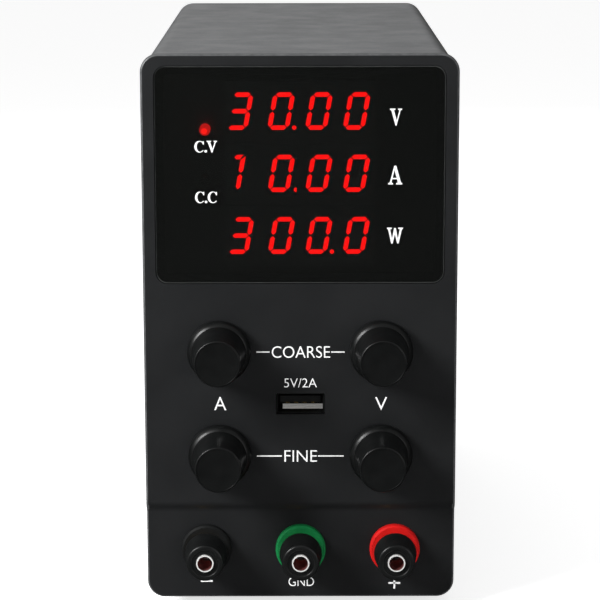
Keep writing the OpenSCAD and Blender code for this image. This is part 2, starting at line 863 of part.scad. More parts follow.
// The base tray: a floor with upturned sides and front, slots and holes for the feet
module chassis_base() {
    half = chassis_w / 2;
    back = rear_inner - 0.1;
    placed() color("#a2a5a8") difference() {
        union() {
            box(-half, half, base_front, back, foot_h, base_top);
            for (sx = [0, 1]) mirror([sx, 0, 0]) {
                box(half - sheet_t, half, base_front, back, foot_h, foot_h + base_flange);
            }
            box(-half, half, base_front, base_front + sheet_t, foot_h, foot_h + base_flange - 2);
        }
        for (sx = [-1, 1]) {
            for (y = [foot_front_y, foot_rear_y]) {
                translate([sx * foot_x, y, 0]) cylinder(r = 2 + slip, h = foot_h + 10);
            }
            rod_y(sx * boss_x, low_boss_z, screw_hole_r, base_front - past, base_front + 3);
            for (k = [0, 1]) {
                spacer_place(sx, k) cylinder(r = screw_hole_r, h = board_z0);
            }
        }
        for (y = low_screw_ys) {
            rod_x(y, screw_z, screw_thread_r, -cover_w, cover_w);
        }
        post_clearance();
        for (i = [0 : base_slot_count - 1]) {
            translate([0, board_y0 + 30 + i * base_slot_pitch, 0]) linear_extrude(base_top + past) {
                rotate(90) slot(base_slot_l, slot_w);
            }
        }
        for (sx = [-1, 1]) {
            translate([sx * rear_tab_x, rear_tab_y, 0]) cylinder(r = screw_hole_r, h = base_top + 1);
        }
    }
}

module fan_holes(r, y0, y1) {
    for (sx = [-1, 1], sz = [-1, 1]) {
        rod_y(sx * fan_screw_pitch / 2, fan_mid + sz * fan_screw_pitch / 2, r, y0, y1);
    }
}

// The rear panel, folded forward at its foot and sides
module rear_panel() {
    half = chassis_w / 2;
    z0 = base_top + 0.1;
    side_z0 = foot_h + base_flange + 4;
    placed() color("#a2a5a8") difference() {
        union() {
            plate_y(rear_inner, rear_face) {
                translate([0, (z0 + chassis_top) / 2]) {
                    rounded_rect(chassis_w, chassis_top - z0, cover_r - cover_t);
                }
            }
            box(-half + 8, half - 8, rear_inner - 11, rear_inner + 0.1, base_top, base_top + sheet_t);
            for (sx = [0, 1]) mirror([sx, 0, 0]) {
                box(half - sheet_t, half, rear_inner - fold_l, rear_inner + 0.1, side_z0,
                    chassis_top - cover_r);
            }
        }
        rod_y(0, fan_mid, fan_bore / 2, rear_inner - past, rear_face + past);
        fan_holes(fan_hole_r, rear_inner - past, rear_face + past);
        box(-inlet_w / 2 - slip, inlet_w / 2 + slip, rear_inner - past, rear_face + past,
            inlet_mid - inlet_h / 2 - slip, inlet_mid + inlet_h / 2 + slip);
        box(-rocker_x - rocker_cut_w / 2 - slip, -rocker_x + rocker_cut_w / 2 + slip,
            rear_inner - past, rear_face + past, switch_mid - rocker_cut_h / 2 - slip,
            switch_mid + rocker_cut_h / 2 + slip);
        box(selector_x - selector_cut_w / 2 - slip, selector_x + selector_cut_w / 2 + slip,
            rear_inner - past, rear_face + past, switch_mid - selector_cut_h / 2 - slip,
            switch_mid + selector_cut_h / 2 + slip);
        for (sx = [-1, 1]) {
            rod_y(sx * inlet_screw_pitch / 2, inlet_mid, screw_thread_r, rear_inner - past,
                rear_face + past);
            translate([sx * rear_tab_x, rear_tab_y, 0]) cylinder(r = screw_thread_r, h = base_top + 4);
        }
        rod_x(rear_screw_y, high_screw_z, screw_thread_r, -half - past, half + past);
    }
}

// Push-in rubber feet with a waist that the base's hole holds
module rubber_feet() {
    placed() color("#1a1a1b") for (sx = [-1, 1], y = [foot_front_y, foot_rear_y]) {
        translate([sx * foot_x, y, 0]) rotate_extrude() polygon([
            [0, 0.6], [foot_d / 2 - 3, 0.6], [foot_d / 2 - 2.4, 0], [foot_d / 2 - 0.8, 0],
            [foot_d / 2, foot_h], [2, foot_h], [2, base_top], [2.7, base_top],
            [2.1, base_top + 1.6], [0, base_top + 1.6]
        ]);
    }
}

// A pan-head screw along +X whose head lies on x = 0 and whose shank runs inwards
module side_screw(l) {
    rotate([0, 90, 0]) cylinder(r = screw_head_r, h = screw_head_h);
    translate([-l, 0, 0]) rotate([0, 90, 0]) cylinder(r = screw_r, h = l + 0.1);
}

// A screw up through the base
module base_screw() {
    translate([0, 0, foot_h - screw_head_h]) {
        cylinder(r = screw_head_r, h = screw_head_h);
        cylinder(r = screw_r, h = screw_head_h + 4);
    }
}

// Screws seen from outside: the cover's, the fan's, the inlet's and those under the base
module outer_screws() {
    placed() color("#4a4c4e") {
        for (sx = [0, 1]) mirror([sx, 0, 0]) {
            for (y = low_screw_ys) {
                translate([cover_w / 2, y, screw_z]) side_screw(5);
            }
            for (y = [front_screw_y, rear_screw_y]) {
                translate([cover_w / 2, y, high_screw_z]) side_screw(5);
            }
            rod_y(inlet_screw_pitch / 2, inlet_mid, screw_r, rear_inner - 4, rear_face + flange_t);
            rod_y(inlet_screw_pitch / 2, inlet_mid, screw_head_r, rear_face + flange_t - 0.6,
                rear_face + flange_t + 0.6);
            translate([rear_tab_x, rear_tab_y, 0]) base_screw();
            for (k = [0, 1]) spacer_place(1, k) base_screw();
        }
        fan_holes(fan_screw_r, fan_screw_head - fan_screw_l, fan_screw_head + 0.1);
        fan_holes(fan_head_r, fan_screw_head, fan_screw_head + fan_head_h);
    }
}

// Screws inside: panel to frame, display board and main board
module inner_screws() {
    placed() color("#c2c4c6") {
        for (sx = [-1, 1]) {
            rod_y(sx * boss_x, low_boss_z, screw_r, bezel_d - 6, base_front + sheet_t + 0.1);
            rod_y(sx * boss_x, low_boss_z, screw_head_r, base_front + sheet_t,
                base_front + sheet_t + 1.8);
            rod_y(sx * boss_x, high_boss_z, screw_r, bezel_d - 6, frame_back + 0.1);
            rod_y(sx * boss_x, high_boss_z, screw_head_r, frame_back, frame_back + 1.8);
            for (sz = [-1, 1]) {
                translate([sx * block_x, 0, window_mid + sz * block_z]) {
                    rod_y(0, 0, fine_screw_r, display_board_y - 4, display_board_y + board_t + 0.1);
                    rod_y(0, 0, 1.5, display_board_y + board_t, display_board_y + board_t + 1.2);
                }
            }
            for (k = [0, 1]) spacer_place(sx, k) {
                translate([0, 0, board_top]) cylinder(r = screw_head_r, h = 1.8);
                translate([0, 0, board_top - 4]) cylinder(r = screw_r, h = 4.1);
            }
        }
    }
}

// Fan pieces

module fan_outline() {
    translate([0, fan_mid]) rounded_rect(fan_w, fan_w, (fan_w - fan_screw_pitch) / 2);
}

// The fan's frame: two square flanges, a round duct, four struts and the motor's seat
module fan_frame() {
    flange = 4;
    duct_r = fan_bore / 2 + 1.4;
    placed() color("#1c1d1e") difference() {
        union() {
            difference() {
                union() {
                    plate_y(fan_y0, fan_y0 + flange) fan_outline();
                    plate_y(rear_inner - flange, rear_inner) fan_outline();
                    rod_y(0, fan_mid, duct_r, fan_y0, rear_inner);
                    fan_holes(3.4, fan_y0, rear_inner);
                }
                rod_y(0, fan_mid, fan_bore / 2, fan_y0 - past, rear_inner + past);
            }
            for (a = [0 : 3]) {
                translate([0, 0, fan_mid]) rotate([0, 45 + 90 * a, 0]) {
                    box(hub_r - 1, fan_bore / 2 + 0.8, rear_inner - 3.5, rear_inner - 0.5, -1.6, 1.6);
                }
            }
            rod_y(0, fan_mid, hub_r, rear_inner - stator_t, rear_inner - 0.3);
        }
        fan_holes(fan_hole_r, fan_y0 - past, rear_inner + past);
        rod_y(0, fan_mid, fan_shaft_r + run, rear_inner - stator_t - past, rear_inner - 1);
    }
}

// One cambered blade, set at an angle to the air and trimmed to the duct
module blade() {
    bend_r = 24;
    rotate([38, 0, 0]) translate([hub_r - 1.5, 0, -bend_r]) rotate([90, 0, 90]) {
        linear_extrude(fan_bore / 2 - hub_r + 3) difference() {
            circle(bend_r + 0.6);
            circle(bend_r - 0.6);
            translate([-bend_r * 2, -bend_r * 2]) square([bend_r * 4, bend_r * 2.62]);
        }
    }
}

// The rotor: a cup with a domed front, its shaft and the blades
module fan_rotor() {
    y0 = fan_y0 + 1.5;
    y1 = rear_inner - stator_t - 0.5;
    mid = (y0 + y1) / 2;
    placed() color("#1f2021") {
        turned_y(0, fan_mid) polygon(concat(
            [[0, y1], [hub_r - 0.4, y1]],
            arc(hub_r - 2.4, y0 + 2, 2, 0, -90, 5),
            [[0, y0]]
        ));
        rod_y(0, fan_mid, fan_shaft_r, y1 - 0.5, rear_inner - 1.4);
        intersection() {
            for (a = [0 : blade_count - 1]) {
                translate([0, mid, fan_mid]) rotate([0, a * 360 / blade_count, 0]) blade();
            }
            rod_y(0, fan_mid, rotor_tip, y0 + 0.5, y1 - 0.3);
        }
    }
}

// The wire guard: rings welded on four spokes that end in screw eyes
module fan_guard() {
    wire = guard_wire / 2;
    spoke_y = rear_face + wire;
    ring_y = spoke_y + guard_wire - 0.2;
    eye = fan_screw_pitch / sqrt(2);
    placed() color("#b4b6b8") {
        for (ring = [1 : 4]) {
            turned_y(0, fan_mid) translate([ring * guard_pitch, ring_y]) circle(wire, $fn = 24);
        }
        for (a = [0 : 3]) translate([0, spoke_y, fan_mid]) rotate([0, 45 + 90 * a, 0]) {
            translate([guard_pitch - 1, 0, 0]) rotate([0, 90, 0]) {
                cylinder(r = wire, h = eye - guard_eye_r + 0.5 - (guard_pitch - 1));
            }
            translate([eye, 0, 0]) rotate([90, 0, 0]) rotate_extrude() {
                translate([guard_eye_r, 0]) circle(wire, $fn = 24);
            }
        }
    }
}

// Inlet and switch pieces

// The mouth of the appliance inlet: a box with two corners cut off
module socket_outline(w, h, cut) {
    polygon([
        [-w / 2, -h / 2], [w / 2, -h / 2], [w / 2, h / 2 - cut], [w / 2 - cut, h / 2],
        [cut - w / 2, h / 2], [-w / 2, h / 2 - cut]
    ]);
}

// The middle pin stands above the outer two
module pin_place(i) {
    translate([i * pin_pitch, 0, socket_mid + (i == 0 ? 2.5 : -1.5)]) children();
}

module inlet_body() {
    ear = inlet_screw_pitch / 2 + 5;
    placed() color("#1b1c1d") difference() {
        union() {
            plate_y(rear_face, inlet_out) translate([0, inlet_mid]) polygon([
                [-ear, -5], [-inlet_w / 2 - 1.5, -inlet_h / 2 - 1], [inlet_w / 2 + 1.5, -inlet_h / 2 - 1],
                [ear, -5], [ear, 5], [inlet_w / 2 + 1.5, inlet_h / 2 + 1],
                [-inlet_w / 2 - 1.5, inlet_h / 2 + 1], [-ear, 5]
            ]);
            box(-inlet_w / 2, inlet_w / 2, rear_face - inlet_depth, rear_face + 0.1,
                inlet_mid - inlet_h / 2, inlet_mid + inlet_h / 2);
        }
        plate_y(inlet_out - inlet_socket_depth, inlet_out + past) translate([0, socket_mid]) {
            socket_outline(socket_w, socket_h, 4);
        }
        box(-drawer_w / 2, drawer_w / 2, inlet_out - drawer_l, inlet_out + past, drawer_mid - drawer_h / 2,
            drawer_mid + drawer_h / 2);
        for (sx = [-1, 1]) {
            rod_y(sx * inlet_screw_pitch / 2, inlet_mid, screw_hole_r, rear_face - past, inlet_out + past);
            rod_y(sx * inlet_screw_pitch / 2, inlet_mid, screw_head_r + slip, inlet_out - 0.6,
                inlet_out + past);
        }
        for (i = [-1 : 1]) {
            pin_place(i) box(-pin_w / 2 - run, pin_w / 2 + run, rear_face - inlet_depth - past,
                inlet_out - inlet_socket_depth + past, -pin_h / 2 - run, pin_h / 2 + run);
        }
    }
}

// Three flat contact pins that reach out behind the inlet as tabs
module inlet_pins() {
    placed() color("#c8b06a") for (i = [-1 : 1]) pin_place(i) {
        box(-pin_w / 2, pin_w / 2, rear_face - inlet_depth - 8, inlet_out - 1.5, -pin_h / 2, pin_h / 2);
    }
}

// The drawer under the inlet, with a finger notch and a trough for the fuse
module fuse_drawer() {
    y0 = inlet_out - drawer_l + seat;
    y1 = inlet_out + 0.5;
    half = drawer_w / 2 - seat;
    z0 = drawer_mid - drawer_h / 2 + seat;
    z1 = drawer_mid + drawer_h / 2 - seat;
    placed() color("#26282a") difference() {
        box(-half, half, y0, y1, z0, z1);
        box(-half + 3, half - 3, y0 + 8, y1 - 3, z0 + 1.2, z1 + past);
        box(-fuse_l / 2 - slip, fuse_l / 2 + slip, y0 + 1.2, y0 + 1.2 + 2 * fuse_r + 2 * slip,
            z0 + 1.4, z1 + past);
        box(-4, 4, y1 - 1.2, y1 + past, z1 - 2.2, z1 + past);
    }
}

module fuse() {
    y = rear_face + flange_t - drawer_l + seat + 1.2 + fuse_r + slip;
    z = drawer_mid - drawer_h / 2 + seat + 1.4 + fuse_r;
    placed() color("#cfd3d4") {
        rod_x(y, z, fuse_r - 0.2, -fuse_l / 2 + 5, fuse_l / 2 - 5);
        for (s = [0, 1]) mirror([s, 0, 0]) rod_x(y, z, fuse_r, fuse_l / 2 - 5, fuse_l / 2);
    }
}

module rocker_frame() {
    placed() translate([-rocker_x, 0, switch_mid]) color("#1b1c1d") difference() {
        union() {
            plate_y(rear_face, rear_face + rocker_flange) rounded_rect(rocker_w, rocker_h, 1.2);
            box(-rocker_cut_w / 2, rocker_cut_w / 2, rear_face - 14, rear_face + 0.1,
                -rocker_cut_h / 2, rocker_cut_h / 2);
        }
        box(rocker_wall - rocker_cut_w / 2, rocker_cut_w / 2 - rocker_wall, rear_face - 9,
            rear_face + rocker_flange + past, rocker_wall - rocker_cut_h / 2,
            rocker_cut_h / 2 - rocker_wall);
        rod_x(rocker_pivot_y, 0, rocker_pin_r + run, rocker_wall - rocker_cut_w / 2 - 0.8,
            rocker_cut_w / 2 - rocker_wall + 0.8);
    }
}

// The rocker: two pressed faces that meet at the pivot, on a round back
module rocker_paddle() {
    half = rocker_cut_w / 2 - rocker_wall - seat;
    reach = rocker_cut_h / 2 - rocker_wall - 0.9;
    placed() color("#8f1517") translate([-rocker_x, rocker_pivot_y, switch_mid]) {
        rotate([rocker_tilt, 0, 0]) {
            plate_x(-half, half) polygon([
                [-1.5, -reach], [3.6, -reach], [4.4, -reach + 1], [2.4, 0], [4.4, reach - 1],
                [3.6, reach], [-1.5, reach], [-4.5, 2.5], [-4.5, -2.5]
            ]);
            rod_x(0, 0, rocker_pin_r, -half - 1, half + 1);
        }
    }
}

module selector_body() {
    placed() translate([selector_x, 0, switch_mid]) color("#1b1c1d") difference() {
        union() {
            plate_y(rear_face, rear_face + selector_flange) {
                rounded_rect(selector_w, selector_h, 1.5);
            }
            box(-selector_cut_w / 2, selector_cut_w / 2, rear_face - 9, rear_face + 0.1,
                -selector_cut_h / 2, selector_cut_h / 2);
        }
        box(-selector_cut_w / 2 + selector_wall, selector_cut_w / 2 - selector_wall,
            rear_face - selector_depth, rear_face + selector_flange + past,
            -selector_slot_h / 2, selector_slot_h / 2);
    }
}

// The selector's slide, with a slot across it for a screwdriver
module selector_slider() {
    slide_w = selector_cut_w - 2 * selector_wall - selector_travel - 2 * seat;
    slide_h = selector_slot_h - 2 * seat;
    x0 = -selector_cut_w / 2 + selector_wall + seat;
    placed() color("#a81a1c") translate([selector_x, 0, switch_mid]) difference() {
        box(x0, x0 + slide_w, rear_face - selector_depth + seat, rear_face + 0.2, -slide_h / 2,
            slide_h / 2);
        translate([x0 + slide_w / 2, 0, 0]) {
            box(-0.6, 0.6, rear_face - 1.4, rear_face + 1, -selector_slot_h, selector_slot_h);
        }
    }
}

// Inner pieces

module spacer_place(sx, k) {
    translate([sx * (board_w / 2 - 4), board_y0 + 4 + k * (board_l - 8), 0]) children();
}

module main_board() {
    placed() color("#1f5a3a") difference() {
        box(-board_w / 2, board_w / 2, board_y0, board_y0 + board_l, board_z0, board_top);
        for (sx = [-1, 1], k = [0, 1]) {
            spacer_place(sx, k) cylinder(r = screw_hole_r, h = board_top + past);
        }
    }
}

module board_spacers() {
    placed() color("#c7a252") for (sx = [-1, 1], k = [0, 1]) spacer_place(sx, k) {
        difference() {
            translate([0, 0, base_top]) cylinder(d = 5.5 / cos(30), h = spacer_h, $fn = 6);
            translate([0, 0, base_top - past]) cylinder(r = screw_thread_r, h = spacer_h + 2 * past);
        }
    }
}

// Two finned sinks that stand along the sides of the main board
module heat_sinks() {
    fins = 11;
    placed() color("#b7babd") for (sx = [0, 1]) mirror([sx, 0, 0]) {
        translate([sink_x0, sink_y0, board_top]) linear_extrude(sink_h) {
            square([sink_base, sink_l]);
            for (i = [0 : fins - 1]) {
                translate([sink_base - 0.1, i * (sink_l - fin_t) / (fins - 1)]) {
                    square([sink_fin + 0.1, fin_t]);
                }
            }
        }
    }
}

// Power devices on the sinks' inner faces, each on three legs
module power_transistors() {
    body_z = board_top + 14;
    leg_pitch = 5.1;
    placed() color("#1d1e20") for (sx = [0, 1], k = [0, 1]) mirror([sx, 0, 0]) {
        translate([sink_x0 - device_t, sink_y0 + 10 + k * 30, 0]) {
            box(0, device_t, 0, device_w, body_z, body_z + device_h);
            for (i = [-1 : 1]) translate([2, device_w / 2 + i * leg_pitch, 0]) {
                box(0, 0.8, -0.5, 0.5, board_top, body_z + 0.1);
            }
        }
    }
}

// Two E-shaped ferrite halves round the winding
module transformer_core() {
    gap = core_l / 2 - 2 * core_leg;
    placed() color("#3a3b3d") translate([0, core_y0, core_z0]) difference() {
        box(-core_t / 2, core_t / 2, 0, core_l, 0, core_h);
        for (y = [core_leg, core_l / 2 + core_leg]) {
            box(-core_t, core_t, y, y + gap, core_leg, core_h - core_leg);
        }
    }
}

// The taped winding on its bobbin, which stands on the board
module transformer_winding() {
    half_w = core_t / 2 + 5;
    body = core_h - 2 * core_leg - 2 * seat;
    in_x = core_t / 2 + slip;
    in_leg = core_leg + slip;
    placed() color("#c9a23a") translate([0, core_y0, core_z0]) difference() {
        union() {
            plate_x(-half_w, half_w) {
                translate([core_l / 2, core_h / 2]) square([body, body], center = true);
            }
            for (sx = [0, 1]) mirror([sx, 0, 0]) {
                box(half_w - 4, half_w, core_leg + 1, core_l - core_leg - 1, board_top - core_z0, 8);
            }
        }
        box(-in_x, in_x, core_l / 2 - in_leg, core_l / 2 + in_leg, -past, core_h + past);
        for (y = [-past, core_l - in_leg]) box(-in_x, in_x, y, y + in_leg + past, -past, core_h + past);
        for (z = [-past, core_h - in_leg]) box(-in_x, in_x, -past, core_l + past, z, z + in_leg + past);
    }
}

// A can capacitor with its rolled groove near the foot
module capacitor(x, y, d, h) {
    translate([x, y, board_top]) rotate_extrude() polygon([
        [0, 0], [d / 2, 0], [d / 2, 2.2], [d / 2 - 0.6, 2.8], [d / 2, 3.4], [d / 2, h - 0.8],
        [d / 2 - 0.8, h], [d / 2 - 2, h], [d / 2 - 2.3, h - 0.3], [0, h - 0.3]
    ]);
}

module capacitors() {
    bulk_y = board_y0 + board_l - 14;
    placed() color("#1e2a4a") {
        for (sx = [-1, 1]) capacitor(sx * (bulk_cap_d / 2 + 1), bulk_y, bulk_cap_d, bulk_cap_h);
        for (i = [-1 : 1]) capacitor(i * (small_cap_d + 1), board_y0 + 18, small_cap_d, small_cap_h);
    }
}

// Lead pieces

function ahead(path, i) = path[min(i + 1, len(path) - 1)] - path[max(i - 1, 0)];
function unit(v) = v / norm(v);
// A point at share t of a smooth stretch from b to c, between neighbours a and d
function between(a, b, c, d, t) = 0.5 * (2 * b + (c - a) * t
    + (2 * a - 5 * b + 4 * c - d) * t * t + (3 * b - a - 3 * c + d) * t * t * t);
function smooth(p, steps) = concat(
    [for (i = [0 : len(p) - 2], k = [0 : steps - 1])
        between(p[max(i - 1, 0)], p[i], p[i + 1], p[min(i + 2, len(p) - 1)], k / steps)],
    [p[len(p) - 1]]);

// A round lead swept along its route
module tube(route, r) {
    path = smooth(route, 4);
    sides = 8;
    skin([for (i = [0 : len(path) - 1])
        let (along = unit(ahead(path, i)), u = [1, 0, 0], v = unit(cross(along, u)))
        [for (k = [0 : sides - 1])
            path[i] + r * cos(k * 360 / sides) * unit(cross(v, along)) + r * sin(k * 360 / sides) * v]]);
}

// A lead from a post's solder lug to the main board
module lead(i, tint) {
    x = i * post_pitch;
    placed() color(tint) tube([
        [x, lug_back + slip, post_mid + 9.5],
        [x, lug_back + 5, post_mid + 9.5],
        [x, lug_back + 11, post_mid + 8],
        [x, lead_end_y - 1.5, post_mid + 3],
        [x, lead_end_y, post_mid - 2],
        [x, lead_end_y, board_top + slip]
    ], lead_r);
}

front_bezel();
display_window();
display_board();
readout(1);  // volts_readout
readout(0);  // amps_readout
readout(-1);  // watts_readout
lamp(upper_lamp_z);  // voltage_lamp
lamp(lower_lamp_z);  // current_lamp
control_board();
pot_bodies();
pot_bushings();
port_shell();
port_tongue();
front_frame();
knob(-1, coarse_z);  // amps_coarse_knob
knob(1, coarse_z);  // volts_coarse_knob
knob(-1, fine_z);  // amps_fine_knob
knob(1, fine_z);  // volts_fine_knob
shaft(-1, coarse_z);  // amps_coarse_shaft
shaft(1, coarse_z);  // volts_coarse_shaft
shaft(-1, fine_z);  // amps_fine_shaft
shaft(1, fine_z);  // volts_fine_shaft
collar(-1, "#1b1c1d");  // minus_collar
collar(0, "#127038");  // ground_collar
collar(1, "#c01414");  // plus_collar
terminal_posts();
terminal_fixings();
insert(-1);  // minus_insert
insert(0);  // ground_insert
insert(1);  // plus_insert
cap(-1, "#1b1c1d");  // minus_cap
cap(0, "#1b1c1d");  // ground_cap
cap(1, "#1b1c1d");  // plus_cap
case_cover();
chassis_base();
rear_panel();
rubber_feet();
outer_screws();
inner_screws();
fan_frame();
fan_rotor();
fan_guard();
inlet_body();
inlet_pins();
fuse_drawer();
fuse();
rocker_frame();
rocker_paddle();
selector_body();
selector_slider();
main_board();
board_spacers();
heat_sinks();
power_transistors();
transformer_core();
transformer_winding();
capacitors();
lead(-1, "#1b1c1d");  // minus_lead
lead(0, "#1e7a3c");  // ground_lead
lead(1, "#b81818");  // plus_lead
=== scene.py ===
# %% [markdown]
# A bench power supply, dressed for its picture.
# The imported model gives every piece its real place, so none of them is moved here.
# This script gives each piece its finish, and adds what a drawing of metalwork and mouldings
# leaves out: printed words, lit digits, screw recesses, and the soft edges that catch light.

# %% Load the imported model
import math

import bmesh
import bpy
from mathutils import Matrix, Vector


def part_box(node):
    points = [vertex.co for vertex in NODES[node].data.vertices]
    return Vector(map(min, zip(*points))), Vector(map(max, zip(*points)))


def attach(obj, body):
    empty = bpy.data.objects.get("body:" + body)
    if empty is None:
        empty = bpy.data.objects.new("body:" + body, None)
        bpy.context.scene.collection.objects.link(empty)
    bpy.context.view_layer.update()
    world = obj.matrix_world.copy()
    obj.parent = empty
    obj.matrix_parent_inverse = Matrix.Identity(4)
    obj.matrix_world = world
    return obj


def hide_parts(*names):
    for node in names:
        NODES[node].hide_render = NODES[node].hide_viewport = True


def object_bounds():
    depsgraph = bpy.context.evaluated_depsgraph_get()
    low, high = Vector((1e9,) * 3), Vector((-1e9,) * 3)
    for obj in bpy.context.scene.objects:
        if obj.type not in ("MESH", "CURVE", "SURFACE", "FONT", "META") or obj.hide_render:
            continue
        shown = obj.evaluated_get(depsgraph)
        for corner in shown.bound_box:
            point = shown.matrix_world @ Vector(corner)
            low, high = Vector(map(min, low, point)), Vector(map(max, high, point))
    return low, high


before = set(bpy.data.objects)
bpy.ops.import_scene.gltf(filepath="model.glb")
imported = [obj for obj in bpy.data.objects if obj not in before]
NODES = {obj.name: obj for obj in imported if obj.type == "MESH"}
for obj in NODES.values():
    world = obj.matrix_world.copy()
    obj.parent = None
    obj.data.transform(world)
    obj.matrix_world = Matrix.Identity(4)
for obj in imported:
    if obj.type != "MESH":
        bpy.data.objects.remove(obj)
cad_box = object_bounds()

MM = 0.001
print("nodes in the frame:", len(NODES))

# %% [markdown]
# Two things place everything on the front: the plane of the panel's face and the height of its
# lower edge. Both are read from the panel itself. Sizes below are in millimetres, because that
# is how such an object is drawn, and place() turns them into metres in the frame.

# %% Places on the front
PANEL_LOW, PANEL_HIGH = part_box("front_bezel")
FACE_Y = PANEL_LOW.y / MM
PANEL_FOOT = PANEL_LOW.z / MM


def place(x, y, z):
    """A point x right of the middle, y behind the panel's face, z above its lower edge."""
    return Vector((x, FACE_Y + y, PANEL_FOOT + z)) * MM


def middle(node):
    """The middle of a node's box at rest."""
    low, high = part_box(node)
    return (low + high) / 2


print("panel face at", round(FACE_Y, 2), "lower edge at", round(PANEL_FOOT, 2))

# %% [markdown]
# The photograph was taken with a long lens from a little above, so upright edges lean
# together only slightly. The camera stands 633 mm in front of the panel and looks down by
# 11.3 degrees. It was held a hair off level, which the small roll repeats. A wide lens from
# nearby could show the same front, but it would spread the knobs and shrink the cover.

# %% Camera
CAMERA_TILT = math.radians(11.3)
CAMERA_ROLL = -0.0018
CAMERA_STAND = (-0.06, -633.0, 212.3)
LENS = 140.8
camera = bpy.data.objects.new("camera", bpy.data.cameras.new("camera"))
camera.data.lens = LENS
camera.data.sensor_width = 36
camera.location = place(*CAMERA_STAND)
looking = Matrix.Rotation(math.pi / 2 - CAMERA_TILT, 3, "X") @ Matrix.Rotation(CAMERA_ROLL, 3, "Z")
camera.rotation_euler = looking.to_euler()
bpy.context.scene.collection.objects.link(camera)
bpy.context.scene.camera = camera
print("camera at", [round(v, 4) for v in camera.location])

# %% [markdown]
# A finish is a short chain of nodes. shader() sets the plain numbers on the shader's own sockets,
# grain() adds a fine relief, and clouded() lets the colour drift a little, as paint and
# plastic do. Patterns read Object coordinates, so they stay put when the piece moves.
# An image texture would do the same job, but a noise has no seams and no fixed sharpness.

# %% Helpers for finishes
def srgb(r, g, b):
    """A colour written as 0 to 255 on screen, turned into the light that it stands for."""
    def one(v):
        v = v / 255
        return v / 12.92 if v <= 0.04045 else ((v + 0.055) / 1.055) ** 2.4
    return (one(r), one(g), one(b), 1.0)


def shader(name, colour, roughness, numbers=None):
    """A new material, with further sockets and their numbers by name."""
    material = bpy.data.materials.new(name)
    material.use_nodes = True
    surface = surface_of(material)
    surface.inputs["Base Color"].default_value = colour
    surface.inputs["Roughness"].default_value = roughness
    for socket, value in (numbers or {}).items():
        surface.inputs[socket].default_value = value
    return material


def surface_of(material):
    return material.node_tree.nodes["Principled BSDF"]


def add_node(material, kind, **values):
    """Adds a node, and sets its own settings or the sockets of those names."""
    node = material.node_tree.nodes.new(kind)
    for key, value in values.items():
        if hasattr(node, key):
            setattr(node, key, value)
        else:
            node.inputs[key.replace("_", " ").title()].default_value = value
    return node


def link(material, source, target):
    material.node_tree.links.new(source, target)


def set_range(span, from_low, from_high, to_low=0.0, to_high=1.0):
    """Sets which stretch of numbers a Map Range node turns into which other."""
    names = ("From Min", "From Max", "To Min", "To Max")
    for socket, value in zip(names, (from_low, from_high, to_low, to_high)):
        span.inputs[socket].default_value = value


# %% [markdown]
# One kind of noise serves three ends: a relief, a drifting roughness and a drifting colour. Its
# size is given in metres, so a grain of a quarter of a millimetre is written as 0.00025 on
# every piece, large or small.

# %% Patterns in a finish
def noise(material, size, detail=3.0, stretch=(1, 1, 1)):
    """Noise whose blobs are about size metres across."""
    coordinates = add_node(material, "ShaderNodeTexCoord")
    mapping = add_node(material, "ShaderNodeMapping")
    mapping.inputs["Scale"].default_value = [s / size for s in stretch]
    texture = add_node(material, "ShaderNodeTexNoise", scale=1.0, detail=detail)
    link(material, coordinates.outputs["Object"], mapping.inputs["Vector"])
    link(material, mapping.outputs["Vector"], texture.inputs["Vector"])
    return texture


def grain(material, size, height, detail=3.0, stretch=(1, 1, 1)):
    """A fine relief of that height in metres, laid over any relief already there."""
    texture = noise(material, size, detail, stretch)
    bump = add_node(material, "ShaderNodeBump", distance=height, strength=1.0)
    link(material, texture.outputs["Fac"], bump.inputs["Height"])
    target = surface_of(material).inputs["Normal"]
    if target.is_linked:
        link(material, target.links[0].from_socket, bump.inputs["Normal"])
    link(material, bump.outputs["Normal"], target)
    return material


def uneven(material, size, low, high):
    """Lets the roughness drift between two numbers, as touch and wear leave it."""
    texture = noise(material, size)
    span = add_node(material, "ShaderNodeMapRange")
    set_range(span, 0.3, 0.7, low, high)
    link(material, texture.outputs["Fac"], span.inputs["Value"])
    link(material, span.outputs["Result"], surface_of(material).inputs["Roughness"])
    return material


def clouded(material, low, high, size, detail=3.0, stretch=(1, 1, 1)):
    """Lets the colour drift between two colours in clouds about size metres across."""
    texture = noise(material, size, detail, stretch)
    ramp = add_node(material, "ShaderNodeValToRGB")
    for element, position, colour in zip(ramp.color_ramp.elements, (0.35, 0.65), (low, high)):
        element.position = position
        element.color = colour
    link(material, texture.outputs["Fac"], ramp.inputs["Fac"])
    link(material, ramp.outputs["Color"], surface_of(material).inputs["Base Color"])
    return material


# %% [markdown]
# The floor runs on out of sight, so the picture has no horizon. It shows the camera a
# little light of its own, and so reads as white paper, while the object's own shadow still
# lies on it. Lighting it white with lamps would burn out the object instead. In mirrors the
# floor is darker, as black plastic in the photograph shows hardly any of it.

# %% Floor
FLOOR_GLOW = 0.72
FLOOR_TONE = (225, 225, 225)
FLOOR_IN_MIRRORS = (80, 80, 80)
FLOOR_HALF = 8.0


